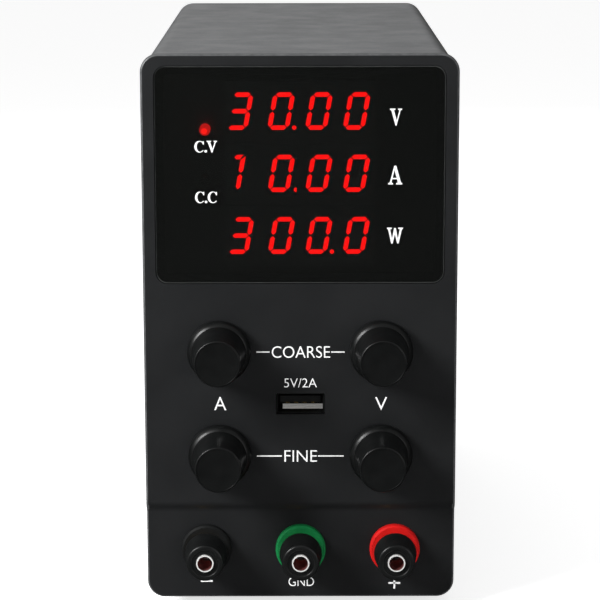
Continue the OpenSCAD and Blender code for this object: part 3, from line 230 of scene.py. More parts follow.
def plain_floor(half_width):
    bm = bmesh.new()
    bmesh.ops.create_grid(bm, x_segments=1, y_segments=1, size=half_width)
    mesh = bpy.data.meshes.new("floor")
    bm.to_mesh(mesh)
    bm.free()
    floor = bpy.data.objects.new("floor", mesh)
    bpy.context.scene.collection.objects.link(floor)
    material = shader("pale_floor", srgb(*FLOOR_TONE), 0.9, {"Specular IOR Level": 0.1})
    grain(material, 0.004, 0.00005)
    path = add_node(material, "ShaderNodeLightPath")
    dim = add_node(material, "ShaderNodeMix", data_type="RGBA")
    dim.inputs["A"].default_value = srgb(*FLOOR_TONE)
    dim.inputs["B"].default_value = srgb(*FLOOR_IN_MIRRORS)
    link(material, path.outputs["Is Glossy Ray"], dim.inputs["Factor"])
    link(material, dim.outputs["Result"], surface_of(material).inputs["Base Color"])
    glow = add_node(material, "ShaderNodeMath", operation="MULTIPLY")
    glow.inputs[1].default_value = FLOOR_GLOW
    link(material, path.outputs["Is Camera Ray"], glow.inputs[0])
    surface_of(material).inputs["Emission Color"].default_value = (1, 1, 1, 1)
    link(material, glow.outputs["Value"], surface_of(material).inputs["Emission Strength"])
    mesh.materials.append(material)
    print("floor half width in metres:", half_width)


plain_floor(FLOOR_HALF)

# %% [markdown]
# The world is white to the camera and through glass. In mirrors it is bright overhead and
# dim towards the horizon, as a studio is with its lamps above, and that keeps black
# plastic black. As a source of light it is dim, so that the soft boxes give the object its
# shape.

# %% World
DIM_ROOM = 0.3
SKY_HEIGHTS = (0.25, 0.85)
SKY_LEVELS = (0.12, 0.5)
world = bpy.data.worlds.new("studio")
bpy.context.scene.world = world
world.use_nodes = True
room, join = world.node_tree.nodes, world.node_tree.links.new
background = room["Background"]
background.inputs["Color"].default_value = (1, 1, 1, 1)
path = room.new("ShaderNodeLightPath")
direction = room.new("ShaderNodeTexCoord")
axes = room.new("ShaderNodeSeparateXYZ")
join(direction.outputs["Generated"], axes.inputs["Vector"])
upwards = room.new("ShaderNodeMapRange")
set_range(upwards, *SKY_HEIGHTS, *SKY_LEVELS)
join(axes.outputs["Z"], upwards.inputs["Value"])
mirrored = room.new("ShaderNodeMix")
mirrored.inputs["A"].default_value = DIM_ROOM
join(path.outputs["Is Glossy Ray"], mirrored.inputs["Factor"])
join(upwards.outputs["Result"], mirrored.inputs["B"])
clear = room.new("ShaderNodeMath")
clear.operation = "MAXIMUM"
join(path.outputs["Is Camera Ray"], clear.inputs[0])
join(path.outputs["Is Transmission Ray"], clear.inputs[1])
seen = room.new("ShaderNodeMix")
seen.inputs["B"].default_value = 1.0
join(clear.outputs["Value"], seen.inputs["Factor"])
join(mirrored.outputs["Result"], seen.inputs["A"])
join(seen.outputs["Result"], background.inputs["Strength"])
print("world nodes:", len(room))

# %% [markdown]
# Four soft boxes. The key lamp stands high at the left, so the highlights sit at the upper
# left of knobs and caps. A weak one opens the shadows at the right, and two more lift the top
# and the rear. A large lamp gives a soft shadow, where a point lamp would give a hard one.
# Each row holds where the lamp stands, what it faces, its side in metres and its power in watts.

# %% Soft boxes
CENTRE = (cad_box[0] + cad_box[1]) / 2
PANEL_MIDDLE = middle("front_bezel")
SOFT_BOXES = {
    "key_left": ((-0.41, -0.36, 0.37), PANEL_MIDDLE, 0.22, 5.6),
    "fill_right": ((0.5, -0.65, 0.16), PANEL_MIDDLE, 0.4, 1.3),
    "top": ((-0.1, 0.25, 0.9), CENTRE, 0.5, 0.8),
    "rear": ((-0.05, 0.9, 0.5), CENTRE, 0.5, 1.2),
}


def soft_box(name, stand, aim, side, power):
    """A square lamp that stands at one point and faces another."""
    data = bpy.data.lights.new(name, "AREA")
    data.size = side
    data.energy = power
    lamp = bpy.data.objects.new(name, data)
    lamp.location = stand
    lamp.rotation_mode = "QUATERNION"
    lamp.rotation_quaternion = (Vector(aim) - Vector(stand)).to_track_quat("-Z", "Y")
    bpy.context.scene.collection.objects.link(lamp)


for name, numbers in SOFT_BOXES.items():
    soft_box(name, *numbers)
bpy.context.scene.view_settings.view_transform = "Standard"

# %% [markdown]
# The mouldings. The panel is black plastic with the fine grain that spark erosion
# leaves in its mould. Knobs and caps come from polished moulds, so their grain is finer and
# their highlights are smaller and brighter. The coloured collars are duller.

# %% Plastics
def panel_plastic():
    material = shader("panel_plastic", srgb(25, 26, 27), 0.5, {"Specular IOR Level": 0.18})
    clouded(material, srgb(23, 24, 25), srgb(27, 28, 29), 0.02)
    uneven(material, 0.012, 0.46, 0.56)
    grain(material, 0.0009, 0.00002)
    return grain(material, 0.00028, 0.000012)


def moulding(name, low, high, roughness, cloud=0.004, specular=0.22):
    """Plastic or ceramic from a smooth mould, between two close tones."""
    material = shader(name, high, roughness, {"Specular IOR Level": specular})
    clouded(material, low, high, cloud)
    uneven(material, 0.003, roughness - 0.05, roughness + 0.06)
    return grain(material, 0.0005, 0.000005)


def insulation(name, colour):
    """The extruded skin of a lead, with the slight waves of the strands under it."""
    material = shader(name, colour, 0.45)
    uneven(material, 0.004, 0.4, 0.52)
    return grain(material, 0.0015, 0.00001)


# %% [markdown]
# Metals. Plating keeps one colour and shows fine turning marks, so its noise is squeezed
# along Y, the line that the turned parts share. The bores' colour follows Y too: dark red-brown
# near the mouth, partly oxide and partly painted shade, and paler further in. Zinc-coated sheet
# shows faint flakes, and powder paint has a fine orange-peel relief with a speckle in it.

# %% Metals and paint
def plated(name, colour, roughness):
    material = shader(name, colour, roughness, {"Metallic": 1.0})
    uneven(material, 0.0008, roughness - 0.06, roughness + 0.08)
    return grain(material, 0.00025, 0.000003, stretch=(1, 4, 1))


def satin_nickel():
    """Plating on brushed metal, which scatters light as well as mirroring it."""
    material = shader("satin_nickel", srgb(212, 212, 210), 0.42, {"Metallic": 0.2})
    uneven(material, 0.0008, 0.32, 0.46)
    return grain(material, 0.00025, 0.000003, stretch=(1, 4, 1))


# From mouth to far end the bore's colour runs from dark, partly painted shade, to pale.
BORE_MOUTH, BORE_END = -13.7, -1.5
BORE_TINTS = ((0, srgb(60, 34, 33)), (1, srgb(245, 245, 243)), (0.25, srgb(128, 62, 58)),
              (0.7, srgb(236, 150, 142)))


def bore_oxide_and_shade():
    """Reddish alloy in the bores, partly oxide and partly painted shade: dark red-brown at the mouth
    and ever paler towards the far end.
    """
    material = shader("bore_oxide_and_shade", BORE_TINTS[0][1], 0.6)
    coordinates = add_node(material, "ShaderNodeTexCoord")
    axes = add_node(material, "ShaderNodeSeparateXYZ")
    depth = add_node(material, "ShaderNodeMapRange")
    set_range(depth, place(0, BORE_MOUTH, 0).y, place(0, BORE_END, 0).y)
    tint = add_node(material, "ShaderNodeValToRGB")
    for element, (_, colour) in zip(tint.color_ramp.elements, BORE_TINTS[:2]):
        element.color = colour
    for position, colour in BORE_TINTS[2:]:
        tint.color_ramp.elements.new(position).color = colour
    link(material, coordinates.outputs["Object"], axes.inputs["Vector"])
    link(material, axes.outputs["Y"], depth.inputs["Value"])
    link(material, depth.outputs["Result"], tint.inputs["Fac"])
    link(material, tint.outputs["Color"], surface_of(material).inputs["Base Color"])
    return grain(material, 0.0004, 0.00003)


def sheet_zinc():
    material = shader("zinc_sheet", srgb(168, 171, 174), 0.42, {"Metallic": 1.0})
    clouded(material, srgb(150, 154, 158), srgb(184, 187, 190), 0.006, stretch=(1, 0.4, 1))
    uneven(material, 0.004, 0.34, 0.5)
    return grain(material, 0.0005, 0.000004)


def powder_paint():
    material = shader("powder_paint", srgb(78, 79, 80), 0.6, {"Specular IOR Level": 0.15})
    clouded(material, srgb(75, 76, 77), srgb(81, 82, 83), 0.0012, detail=2.0)
    uneven(material, 0.01, 0.54, 0.64)
    grain(material, 0.0011, 0.000012)
    return grain(material, 0.00035, 0.000005)


# %% [markdown]
# The window is dark acrylic in front of the displays. A share of the light goes through it,
# so lit digits show and dark ones don't. Plain transparency is enough at two millimetres:
# real refraction would shift the digits by less than a hair.

# %% Window
def smoked_plastic():
    material = shader("smoked_plastic", srgb(15, 16, 15), 0.12,
                      {"Specular IOR Level": 0.2, "Alpha": 0.72})
    uneven(material, 0.02, 0.09, 0.15)
    return grain(material, 0.03, 0.000004)


def painted_pane_highlight():
    """The rounded edge of the pane: dull, and painted paler than its face as a painted highlight."""
    material = shader("pane_edge_highlight", srgb(62, 64, 63), 0.55, {"Specular IOR Level": 0.3})
    clouded(material, srgb(56, 58, 57), srgb(68, 70, 69), 0.003)
    return grain(material, 0.0004, 0.000005)


# %% [markdown]
# Three finishes that are not plain: the panel's rim is painted paler as a painted highlight, the ink
# is screen-printed, and the port's lower wall is painted pale with a faint glow as painted light.
# Lit bars and lamps give off their own colour, so they stay red from every side and need no lamp of
# the scene.

# %% Painted light, glow and print
def painted_rim_highlight():
    """The panel's rounded rim, painted paler than the face as a painted highlight."""
    material = shader("painted_rim_highlight", srgb(74, 75, 76), 0.4, {"Specular IOR Level": 0.3})
    clouded(material, srgb(66, 67, 68), srgb(82, 83, 84), 0.002)
    return grain(material, 0.0005, 0.000005)


def glowing(name, colour, strength):
    """Red plastic lit from within, a little dimmer in places."""
    material = shader(name, colour, 0.4, {"Emission Color": colour, "Emission Strength": strength})
    clouded(material, colour, [0.9 * v for v in colour[:3]] + [1.0], 0.0006)
    return grain(material, 0.0004, 0.000005)


def printing_ink():
    """Screen-printed ink, a little uneven where the mesh of the screen let less through."""
    material = shader("printing_ink", srgb(238, 238, 238), 0.6, {"Specular IOR Level": 0.2})
    clouded(material, srgb(228, 228, 228), srgb(244, 244, 244), 0.0007)
    return grain(material, 0.0002, 0.000004)


def port_painted_light():
    """The lower wall inside the port, painted pale as painted light. The soft boxes hardly reach in
    there, so it has a faint glow of its own and stays readable as metal."""
    material = shader("port_painted_light", srgb(248, 248, 248), 0.7,
                      {"Emission Color": srgb(255, 255, 252), "Emission Strength": 0.17})
    clouded(material, srgb(70, 70, 70), srgb(252, 252, 252), 0.0009, stretch=(0.3, 1, 1))
    return grain(material, 0.0004, 0.00004)


# %% [markdown]
# What lies inside is seen only through the slots, yet each piece still gets its own stuff: a
# brick pattern of thin lines stands for the tracks of a board, glass lets light through, and
# rubber is rough and takes no highlight.

# %% Boards, glass and rubber
def lacquered_board(name, low, high, track):
    """A circuit board: lacquer over copper tracks, which show as paler lines."""
    material = shader(name, low, 0.35)
    coordinates = add_node(material, "ShaderNodeTexCoord")
    tracks = add_node(material, "ShaderNodeTexBrick", scale=260.0, mortar_size=0.05)
    tracks.inputs["Color1"].default_value = low
    tracks.inputs["Color2"].default_value = high
    tracks.inputs["Mortar"].default_value = track
    link(material, coordinates.outputs["Object"], tracks.inputs["Vector"])
    link(material, tracks.outputs["Color"], surface_of(material).inputs["Base Color"])
    return grain(material, 0.002, 0.00001)


def clear_tube():
    material = shader("clear_tube", srgb(215, 222, 222), 0.05, {"Transmission Weight": 0.85})
    return grain(material, 0.003, 0.000003)


def black_rubber():
    material = shader("black_rubber", srgb(24, 24, 25), 0.75, {"Specular IOR Level": 0.25})
    clouded(material, srgb(20, 20, 21), srgb(30, 30, 31), 0.003)
    return grain(material, 0.0005, 0.00002)


# %% [markdown]
# One table holds every finish under a short name, so each material is made once and shared.

# %% All finishes
FINISH = {
    "panel": panel_plastic(),
    "knob": moulding("knob_plastic", srgb(9, 10, 10), srgb(13, 14, 14), 0.34),
    "moulded": moulding("moulded_black", srgb(14, 15, 15), srgb(18, 19, 19), 0.32),
    "dull_black": moulding("dull_black", srgb(17, 18, 18), srgb(21, 22, 22), 0.6, specular=0.1),
    "green": moulding("green_moulding", srgb(12, 104, 54), srgb(20, 118, 62), 0.6, specular=0.1),
    "red": moulding("red_moulding", srgb(176, 18, 18), srgb(196, 22, 20), 0.6, specular=0.1),
    "nickel": plated("nickel_plate", srgb(205, 206, 204), 0.22),
    "satin": satin_nickel(),
    "bore": bore_oxide_and_shade(),
    "brass": plated("turned_brass", srgb(205, 170, 96), 0.28),
    "gold": plated("gold_contact", srgb(222, 184, 98), 0.2),
    "tinned": plated("tinned_steel", srgb(158, 160, 162), 0.4),
    "aluminium": plated("plain_aluminium", srgb(190, 192, 194), 0.38),
    "dark_zinc": plated("black_zinc", srgb(84, 85, 88), 0.36),
    "zinc": sheet_zinc(),
    "paint": powder_paint(),
    "window": smoked_plastic(),
    # The pane's edge and the panel's rim are painted highlights, and the port's lower wall is painted
    # light with a glow.
    "pane_edge_highlight": painted_pane_highlight(),
    "painted_rim_highlight": painted_rim_highlight(),
    "port_painted_light": port_painted_light(),
    "display_case": moulding("display_case", srgb(84, 88, 88), srgb(88, 92, 92), 0.5),
    "segment": glowing("lit_segment", srgb(255, 6, 5), 13.5),
    "lamp_on": glowing("lit_lamp", srgb(215, 12, 10), 8.0),
    "lamp_core": glowing("lamp_core", srgb(255, 22, 14), 14.0),
    "lamp_off": moulding("dark_lamp", srgb(26, 16, 16), srgb(32, 18, 18), 0.3),
    "print": printing_ink(),
    "rubber": black_rubber(),
    "board": lacquered_board("green_board", srgb(20, 78, 46), srgb(26, 92, 55),
                             srgb(58, 128, 70)),
    "black_board": lacquered_board("black_board", srgb(22, 23, 23), srgb(26, 27, 27),
                                   srgb(34, 35, 34)),
    "ferrite": moulding("sintered_ferrite", srgb(46, 46, 48), srgb(62, 62, 64), 0.7, 0.001),
    "tape": moulding("polyester_tape", srgb(196, 150, 40), srgb(214, 170, 58), 0.35),
    "sleeve": moulding("shrink_sleeve", srgb(24, 34, 66), srgb(30, 42, 80), 0.3),
    "glass": clear_tube(),
    "black_wire": insulation("black_insulation", srgb(26, 26, 28)),
    "green_wire": insulation("green_insulation", srgb(24, 120, 58)),
    "red_wire": insulation("red_insulation", srgb(178, 24, 22)),
}
print("finishes:", len(FINISH))

# %% [markdown]
# Every node of the model keeps its own shape and gets the finish of what it is made of. The
# list goes by finish, as a shop sorts its parts bins, and the print at its end shows at once
# whether a piece was forgotten.

# %% Finishes of the nodes
SETTINGS = [f"{quantity}_{step}" for quantity in ("amps", "volts") for step in ("coarse", "fine")]
TERMINALS = ("minus", "ground", "plus")
NODE_FINISH = {
    "panel": ["front_bezel"],
    "knob": [f"{setting}_knob" for setting in SETTINGS],
    "dull_black": ["minus_collar"],
    "moulded": [f"{terminal}_cap" for terminal in TERMINALS] + [
        "port_tongue", "fan_frame", "fan_rotor", "inlet_body", "fuse_drawer", "rocker_frame",
        "selector_body", "power_transistors"],
    "green": ["ground_collar"],
    "red": ["plus_collar", "rocker_paddle", "selector_slider"],
    "nickel": [f"{setting}_shaft" for setting in SETTINGS] + [
        "port_shell", "terminal_posts", "terminal_fixings", "pot_bushings", "inner_screws",
        "fan_guard"],
    "brass": [f"{terminal}_insert" for terminal in TERMINALS] + ["inlet_pins", "board_spacers"],
    "tinned": ["pot_bodies"],
    "aluminium": ["heat_sinks"],
    "dark_zinc": ["outer_screws"],
    "zinc": ["front_frame", "chassis_base", "rear_panel"],
    "paint": ["case_cover"],
    "window": ["display_window"],
    "display_case": ["volts_readout", "amps_readout", "watts_readout"],
    "lamp_on": ["voltage_lamp"],
    "lamp_off": ["current_lamp"],
    "rubber": ["rubber_feet"],
    "board": ["control_board", "main_board"],
    "black_board": ["display_board"],
    "ferrite": ["transformer_core"],
    "tape": ["transformer_winding"],
    "sleeve": ["capacitors"],
    "glass": ["fuse"],
    "black_wire": ["minus_lead"],
    "green_wire": ["ground_lead"],
    "red_wire": ["plus_lead"],
}
for finish, names in NODE_FINISH.items():
    for name in names:
        NODES[name].data.materials.clear()
        NODES[name].data.materials.append(FINISH[finish])
dressed = {name for names in NODE_FINISH.values() for name in names}
print("nodes without a finish:", sorted(set(NODES) - dressed))

# %% [markdown]
# Helpers for new pieces. finished() turns a bmesh into an object that sits at the origin with
# its place in its mesh, and lets it ride on the body that carries it. turned() spins an
# outline, as a lathe does, and round_ring() breaks one of its sharp rings.

# %% Helpers for pieces
MERGE = 1e-6
CREASE = math.radians(32)


def finished(bm, name, finish, body):
    """An object from a bmesh, with its finish, body and material slot."""
    bmesh.ops.recalc_face_normals(bm, faces=bm.faces)
    mesh = bpy.data.meshes.new(name)
    bm.to_mesh(mesh)
    bm.free()
    mesh.materials.append(FINISH[finish])
    mesh.shade_smooth()
    mesh.set_sharp_from_angle(angle=CREASE)
    piece = bpy.data.objects.new(name, mesh)
    bpy.context.scene.collection.objects.link(piece)
    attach(piece, body)
    return piece


def arc(r, y, radius, start, end, steps=8):
    """Points of (radius, depth) along an arc round the point r, y, between two angles."""
    angles = [math.radians(start + (end - start) * i / steps) for i in range(steps + 1)]
    return [(r + radius * math.cos(a), y + radius * math.sin(a)) for a in angles]


def turned(bm, outline, axis, steps=96):
    """Spins an outline of (radius, depth behind the face) about a line along Y.
    It is closed on itself, unless it starts and ends on that line."""
    verts = [bm.verts.new(axis + Vector((r, y, 0)) * MM) for r, y in outline]
    ring = zip(verts, verts[1:] + verts[:1]) if outline[0][0] else zip(verts, verts[1:])
    edges = [bm.edges.new(pair) for pair in ring]
    bmesh.ops.spin(bm, geom=verts + edges, cent=axis, axis=(0, 1, 0), dvec=(0, 0, 0),
                   angle=math.tau, steps=steps, use_merge=True, use_duplicate=False)
    bmesh.ops.remove_doubles(bm, verts=bm.verts, dist=MERGE / 10)


def round_ring(bm, axis, r, y, radius, segments=3):
    """Rounds the edges that run round the axis at that radius and depth."""
    def on_ring(v):
        p = (v.co - axis) / MM
        return abs(math.hypot(p.x, p.z) - r) < 0.01 and abs(p.y - y) < 0.01
    edges = [e for e in bm.edges if all(on_ring(v) for v in e.verts)]
    bmesh.ops.bevel(bm, geom=edges, offset=radius * MM, segments=segments, profile=0.5,
                    affect="EDGES", material=-1)


def move_new(bm, geometry, by):
    """Moves what an extrusion has just made."""
    verts = [v for v in geometry if isinstance(v, bmesh.types.BMVert)]
    bmesh.ops.translate(bm, verts=verts, vec=by)


# %% [markdown]
# The knobs are turned forms: a skirt with a round shoulder, then a cone up to a dished
# disc with a thin raised rim. A spin of one outline gives them exactly round, and the
# rings that catch the light are rounded afterwards. Depths are counted from the panel's
# face, so what stands out in front is below zero.

# %% Knobs
KNOB_SKIRT = 8.75
KNOB_SHOULDER = 2.2
SHOULDER_TURN = -64
KNOB_BACK = -0.8
KNOB_FRONT = -16.8
KNOB_DISC = 6.35
HOLLOW_R = 6.75
HOLLOW_END = -5.2


def turned_knob(setting):
    x, z = (middle(f"{setting}_shaft")[i] for i in (0, 2))
    axis = Vector((x, FACE_Y * MM, z))
    outline = [(0, HOLLOW_END), (HOLLOW_R, HOLLOW_END), (HOLLOW_R, KNOB_BACK)]
    outline += [(KNOB_SKIRT, KNOB_BACK)]
    outline += arc(KNOB_SKIRT - KNOB_SHOULDER, -2.0, KNOB_SHOULDER, 0, SHOULDER_TURN)
    outline += [(KNOB_DISC, KNOB_FRONT), (KNOB_DISC - 0.42, KNOB_FRONT)]
    outline += [(KNOB_DISC - 0.5, KNOB_FRONT + 0.14), (4.2, KNOB_FRONT + 0.3)]
    outline += [(2.2, KNOB_FRONT + 0.46), (0, KNOB_FRONT + 0.52)]
    bm = bmesh.new()
    turned(bm, outline, axis, 128)
    round_ring(bm, axis, KNOB_DISC, KNOB_FRONT, 0.32, 4)
    round_ring(bm, axis, KNOB_SKIRT, KNOB_BACK, 0.15, 2)
    knob = finished(bm, f"{setting}_turned_knob", "knob", setting)
    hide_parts(f"{setting}_knob")
    return knob


for setting in SETTINGS:
    print(turned_knob(setting).name, "on", setting)

# %% [markdown]
# The caps that clamp a wire are smooth tapered rings: a rim at the rear, a rolled front edge
# and a shallow recess round the post's tip. They are turned as the knobs are, each on the
# line of its own post.

# %% Clamping caps
CAP_FRONT, CAP_REAR = (corner.y / MM - FACE_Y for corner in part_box("ground_cap"))
CAP_FRONT -= 0.2  # the moulding stands out a little further than the model's plain ring
CAP_BORE, CAP_HOLLOW, CAP_NOSE, CAP_RIM = 2.6, 3.95, 4.45, 5.9
CAP_LIP = 3.85


def turned_cap(terminal):
    x, z = (middle(f"{terminal}_insert")[i] for i in (0, 2))
    axis = Vector((x, FACE_Y * MM, z))
    outline = [(CAP_BORE, CAP_FRONT + 0.4), (CAP_BORE, CAP_FRONT + 2.7)]
    outline += [(CAP_HOLLOW, CAP_FRONT + 2.7), (CAP_HOLLOW, CAP_REAR)]
    outline += [(CAP_RIM - 0.2, CAP_REAR), (CAP_RIM, CAP_REAR - 0.2), (CAP_RIM, CAP_REAR - 1.1)]
    outline += [(CAP_RIM - 0.1, CAP_REAR - 1.3)] + arc(CAP_NOSE, CAP_FRONT + 0.7, 0.7, 0, -90)
    outline += [(CAP_LIP, CAP_FRONT), (CAP_LIP - 0.23, CAP_FRONT + 0.4)]
    bm = bmesh.new()
    turned(bm, outline, axis)
    round_ring(bm, axis, CAP_LIP, CAP_FRONT, 0.15)
    round_ring(bm, axis, CAP_RIM, CAP_REAR - 1.1, 0.2, 2)
    cap = finished(bm, f"{terminal}_turned_cap", "moulded", f"{terminal}_cap")
    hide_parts(f"{terminal}_cap")
    return cap


for terminal in TERMINALS:
    print(turned_cap(terminal).name)

# %% [markdown]
# Rounded edges come out of the model as narrow flat bands. A merged copy of a node, with smooth
# shading and every sharp edge marked, turns them into one soft highlight. Weighted normals
# keep the large faces flat, which plain smooth shading would bend. The node brings stored
# normals with it, which would fight the new ones, so the copy drops them. Its shape may be
# changed on the way, because the node itself always stays as it is.

# %% Smooth copies
COPY_CREASE = math.radians(35)


def smooth_copy(node, name, finish, body, reshape=None):
    """A merged and smooth copy of a node, which stands for it."""
    bm = bmesh.new()
    bm.from_mesh(NODES[node].data)
    bmesh.ops.remove_doubles(bm, verts=bm.verts, dist=MERGE)
    bmesh.ops.dissolve_limit(bm, angle_limit=math.radians(0.5), verts=bm.verts, edges=bm.edges)
    if reshape:
        reshape(bm)
    bm.normal_update()
    for face in bm.faces:
        face.smooth = True
    for edge in bm.edges:
        edge.smooth = len(edge.link_faces) == 2 and edge.calc_face_angle() < COPY_CREASE
    mesh = bpy.data.meshes.new(name)
    bm.to_mesh(mesh)
    bm.free()
    if "custom_normal" in mesh.attributes:
        mesh.attributes.remove(mesh.attributes["custom_normal"])
    mesh.materials.append(FINISH[finish])
    piece = bpy.data.objects.new(name, mesh)
    bpy.context.scene.collection.objects.link(piece)
    weighted = piece.modifiers.new("flat_faces", "WEIGHTED_NORMAL")
    weighted.keep_sharp = True
    cut = piece.modifiers.new("cut_in_triangles", "TRIANGULATE")
    cut.keep_custom_normals = True
    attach(piece, body)
    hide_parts(node)
    return piece


def cut_across(bm, point, normal):
    """Cuts every face that a plane crosses, and keeps both sides."""
    bmesh.ops.bisect_plane(bm, geom=bm.verts[:] + bm.edges[:] + bm.faces[:], dist=MERGE,
                           plane_co=point, plane_no=normal)


# %% [markdown]
# The panel's rim stands out a little from the walls behind it. So the copy is cut twice just
# behind the rim, and what lies on the outline beyond the cuts moves inward. A point counts as
# on the outline when it is one corner radius away from the straight part of its side. The
# rim's rounded faces get a paler finish, a painted highlight.

# %% Panel moulding
PANEL_CORNER = 5.0
RIM_END = 1.3
RIM_STEP = 1.3
STEP_LENGTH = 0.1
NEAR_OUTLINE = 0.06


def beyond(distance, straight):
    """How far a distance reaches past the straight part of a side, with its sign."""
    return math.copysign(max(abs(distance) - straight, 0), distance)


def narrow_walls(bm):
    """Steps the panel's walls inward behind its rim, which leaves room for the cover."""
    centre = (PANEL_LOW + PANEL_HIGH) / 2
    straight = PANEL_HIGH - centre - Vector((1, 1, 1)) * PANEL_CORNER * MM
    for y in (RIM_END, RIM_END + STEP_LENGTH):
        cut_across(bm, (0, (FACE_Y + y) * MM, 0), (0, 1, 0))
    stepped = 0
    for v in bm.verts:
        if v.co.y < (FACE_Y + RIM_END + STEP_LENGTH / 2) * MM:
            continue
        at = v.co - centre
        out = Vector((beyond(at.x, straight.x), 0, beyond(at.z, straight.z)))
        if abs(out.length - PANEL_CORNER * MM) < NEAR_OUTLINE * MM:
            v.co -= out.normalized() * RIM_STEP * MM
            stepped += 1
    print("points stepped inward behind the rim:", stepped)


def on_rim(spot):
    """Whether a point lies within a millimetre of the panel's outline or in one of its corners."""
    from_side = min(spot.x - PANEL_LOW.x, PANEL_HIGH.x - spot.x) / MM
    from_end = min(spot.z - PANEL_LOW.z, PANEL_HIGH.z - spot.z) / MM
    return from_side < 1 or from_end < 1 or from_side + from_end < 4


panel = smooth_copy("front_bezel", "panel_moulding", "panel", "case",
                    reshape=narrow_walls)
panel.data.materials.append(FINISH["painted_rim_highlight"])
# The rim's rounded faces get the painted highlight.
for face in panel.data.polygons:
    if -0.95 < face.normal.y < -0.2 and face.center.y < (FACE_Y + 2) * MM and on_rim(face.center):
        face.material_index = 1
print("panel faces:", len(panel.data.polygons))

# %% [markdown]
# The pane is cut from a sheet, and its rounded edge is dull. It is painted paler than the
# face, a painted highlight that shows as a thin pale line. Those faces look neither straight
# forward nor sideways, which finds them.

# %% Window pane
pane = smooth_copy("display_window", "window_pane", "window", "case")
pane.data.materials.append(FINISH["pane_edge_highlight"])
# The edge faces get the painted highlight.
for face in pane.data.polygons:
    if -0.99 < face.normal.y < -0.01:
        face.material_index = 1
print("pane faces:", len(pane.data.polygons))

# %% [markdown]
# The cover wraps over the panel's walls and ends just behind its rim. So its front edge is
# carried forward, and its sides come in a little. Its lowest few millimetres stay back, because
# the panel's lower corners are round. Moving only the edge keeps slots and screw holes in
# their places, where stretching the whole cover would shift them.

# %% Folded cover
COVER_END = 1.5
COVER_INSET = 0.5
COVER_HEM = 9.0


def reach_forward(bm):
    """Carries the cover's front edge to the rim, and brings its sides in."""
    low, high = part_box("case_cover")
    middle_x, half = (low.x + high.x) / 2, (high.x - low.x) / 2
    cut_across(bm, (0, 0, low.z + COVER_HEM * MM), (0, 0, 1))
    moved = 0
    for v in bm.verts:
        v.co.x = middle_x + (v.co.x - middle_x) * (1 - COVER_INSET * MM / half)
        if v.co.y < low.y + 0.01 * MM and v.co.z > low.z + (COVER_HEM - 0.1) * MM:
            v.co.y = (FACE_Y + COVER_END) * MM
            moved += 1
    print("points of the front edge:", moved)


smooth_copy("case_cover", "folded_cover", "paint", "case", reshape=reach_forward)

# %% [markdown]
# The posts are plated outside, but their bores are dark and reddish, partly from oxide and
# partly as painted shade, and only their far ends are bright. So the faces that look at a
# post's own line get a second finish.

# %% Plated posts
BORE_R = 2.07


def plated_posts():
    posts = smooth_copy("terminal_posts", "plated_posts", "satin", "case")
    posts.data.materials.append(FINISH["bore"])
    lines = [middle(f"{terminal}_insert") for terminal in TERMINALS]
    inside = 0
    for face in posts.data.polygons:
        line = min(lines, key=lambda p: abs(p.x - face.center.x))
        out = Vector((face.center.x - line.x, 0, face.center.z - line.z))
        # Faces inside the bores get the bore finish with its painted shade.
        if out.length < BORE_R * MM and face.normal.dot(out) < 0 and face.normal.y > -0.2:
            face.material_index = 1
            inside += 1
    print("faces inside the bores:", inside)


plated_posts()

# %% [markdown]
# The lit digits. Each digit is up to seven bars, leaning by about ten degrees. A bar is a flat
# hexagon, because the points and the hair-thin gaps between bars are what make it
# read as a display. The bars lie in the sunk fields of the display blocks.

# %% Bars of a digit
DIGIT_W = 5.95
DIGIT_H = 10.26
BAR = 1.24
BAR_GAP = 0.17
BAR_DEPTH = 0.06
DIGIT_FACE = 3.18
DOT_R = 0.6
LEAN = math.tan(math.radians(10.2))
BARS = {"0": "abcdef", "1": "bc", "3": "abcdg"}
HALF_W = (DIGIT_W - BAR) / 2
HALF_H = (DIGIT_H - BAR) / 2
BAR_ENDS = {
    "a": ((-HALF_W, HALF_H), (HALF_W, HALF_H)), "b": ((HALF_W, HALF_H), (HALF_W, 0)),
    "c": ((HALF_W, 0), (HALF_W, -HALF_H)), "d": ((-HALF_W, -HALF_H), (HALF_W, -HALF_H)),
    "e": ((-HALF_W, -HALF_H), (-HALF_W, 0)), "f": ((-HALF_W, 0), (-HALF_W, HALF_H)),
    "g": ((-HALF_W, 0), (HALF_W, 0)),
}


def add_bar(bm, ends, shift, x, z, corner=None):
    """One bar of a digit. A corner takes the place of its first or last point."""
    start, end = (Vector(p) + Vector((shift, 0)) for p in ends)
    along = (end - start).normalized()
    half = along * BAR / 2
    side = Vector((-along.y, along.x)) * BAR / 2
    a, b = start + along * BAR_GAP, end - along * BAR_GAP
    corners = [a, a + half + side, b - half + side, b, b - half - side, a + half - side]
    if corner == "first":
        corners[0:2] = [a + side - half * 0.7]
    if corner == "last":
        corners[2:4] = [b + side + half * 0.2]
    verts = [bm.verts.new(place(x + p.x + LEAN * p.y, DIGIT_FACE, z + p.y)) for p in corners]
    thick = bmesh.ops.extrude_face_region(bm, geom=[bm.faces.new(verts)])["geom"]
    move_new(bm, thick, (0, BAR_DEPTH * MM, 0))


def add_dot(bm, x, z):
    """The round decimal point, a short disc that faces forward."""
    stand = Matrix.Translation(place(x, DIGIT_FACE + BAR_DEPTH / 2, z))
    bmesh.ops.create_cone(bm, cap_ends=True, segments=24, radius1=DOT_R * MM, radius2=DOT_R * MM,
                          depth=BAR_DEPTH * MM, matrix=stand @ Matrix.Rotation(math.pi / 2, 4, "X"))


# %% [markdown]
# A row is four digits and a point. The first digit stands apart from the other three, as on the
# real display. A 1 has a short flag at its top left, so it gets a bar of its own.

# %% Rows of digits
FIRST_X = -16.4
SECOND_X = -5.08
DIGIT_PITCH = 10.28
ONE_SHIFT = -2.25
ONE_FLAG = 2.6


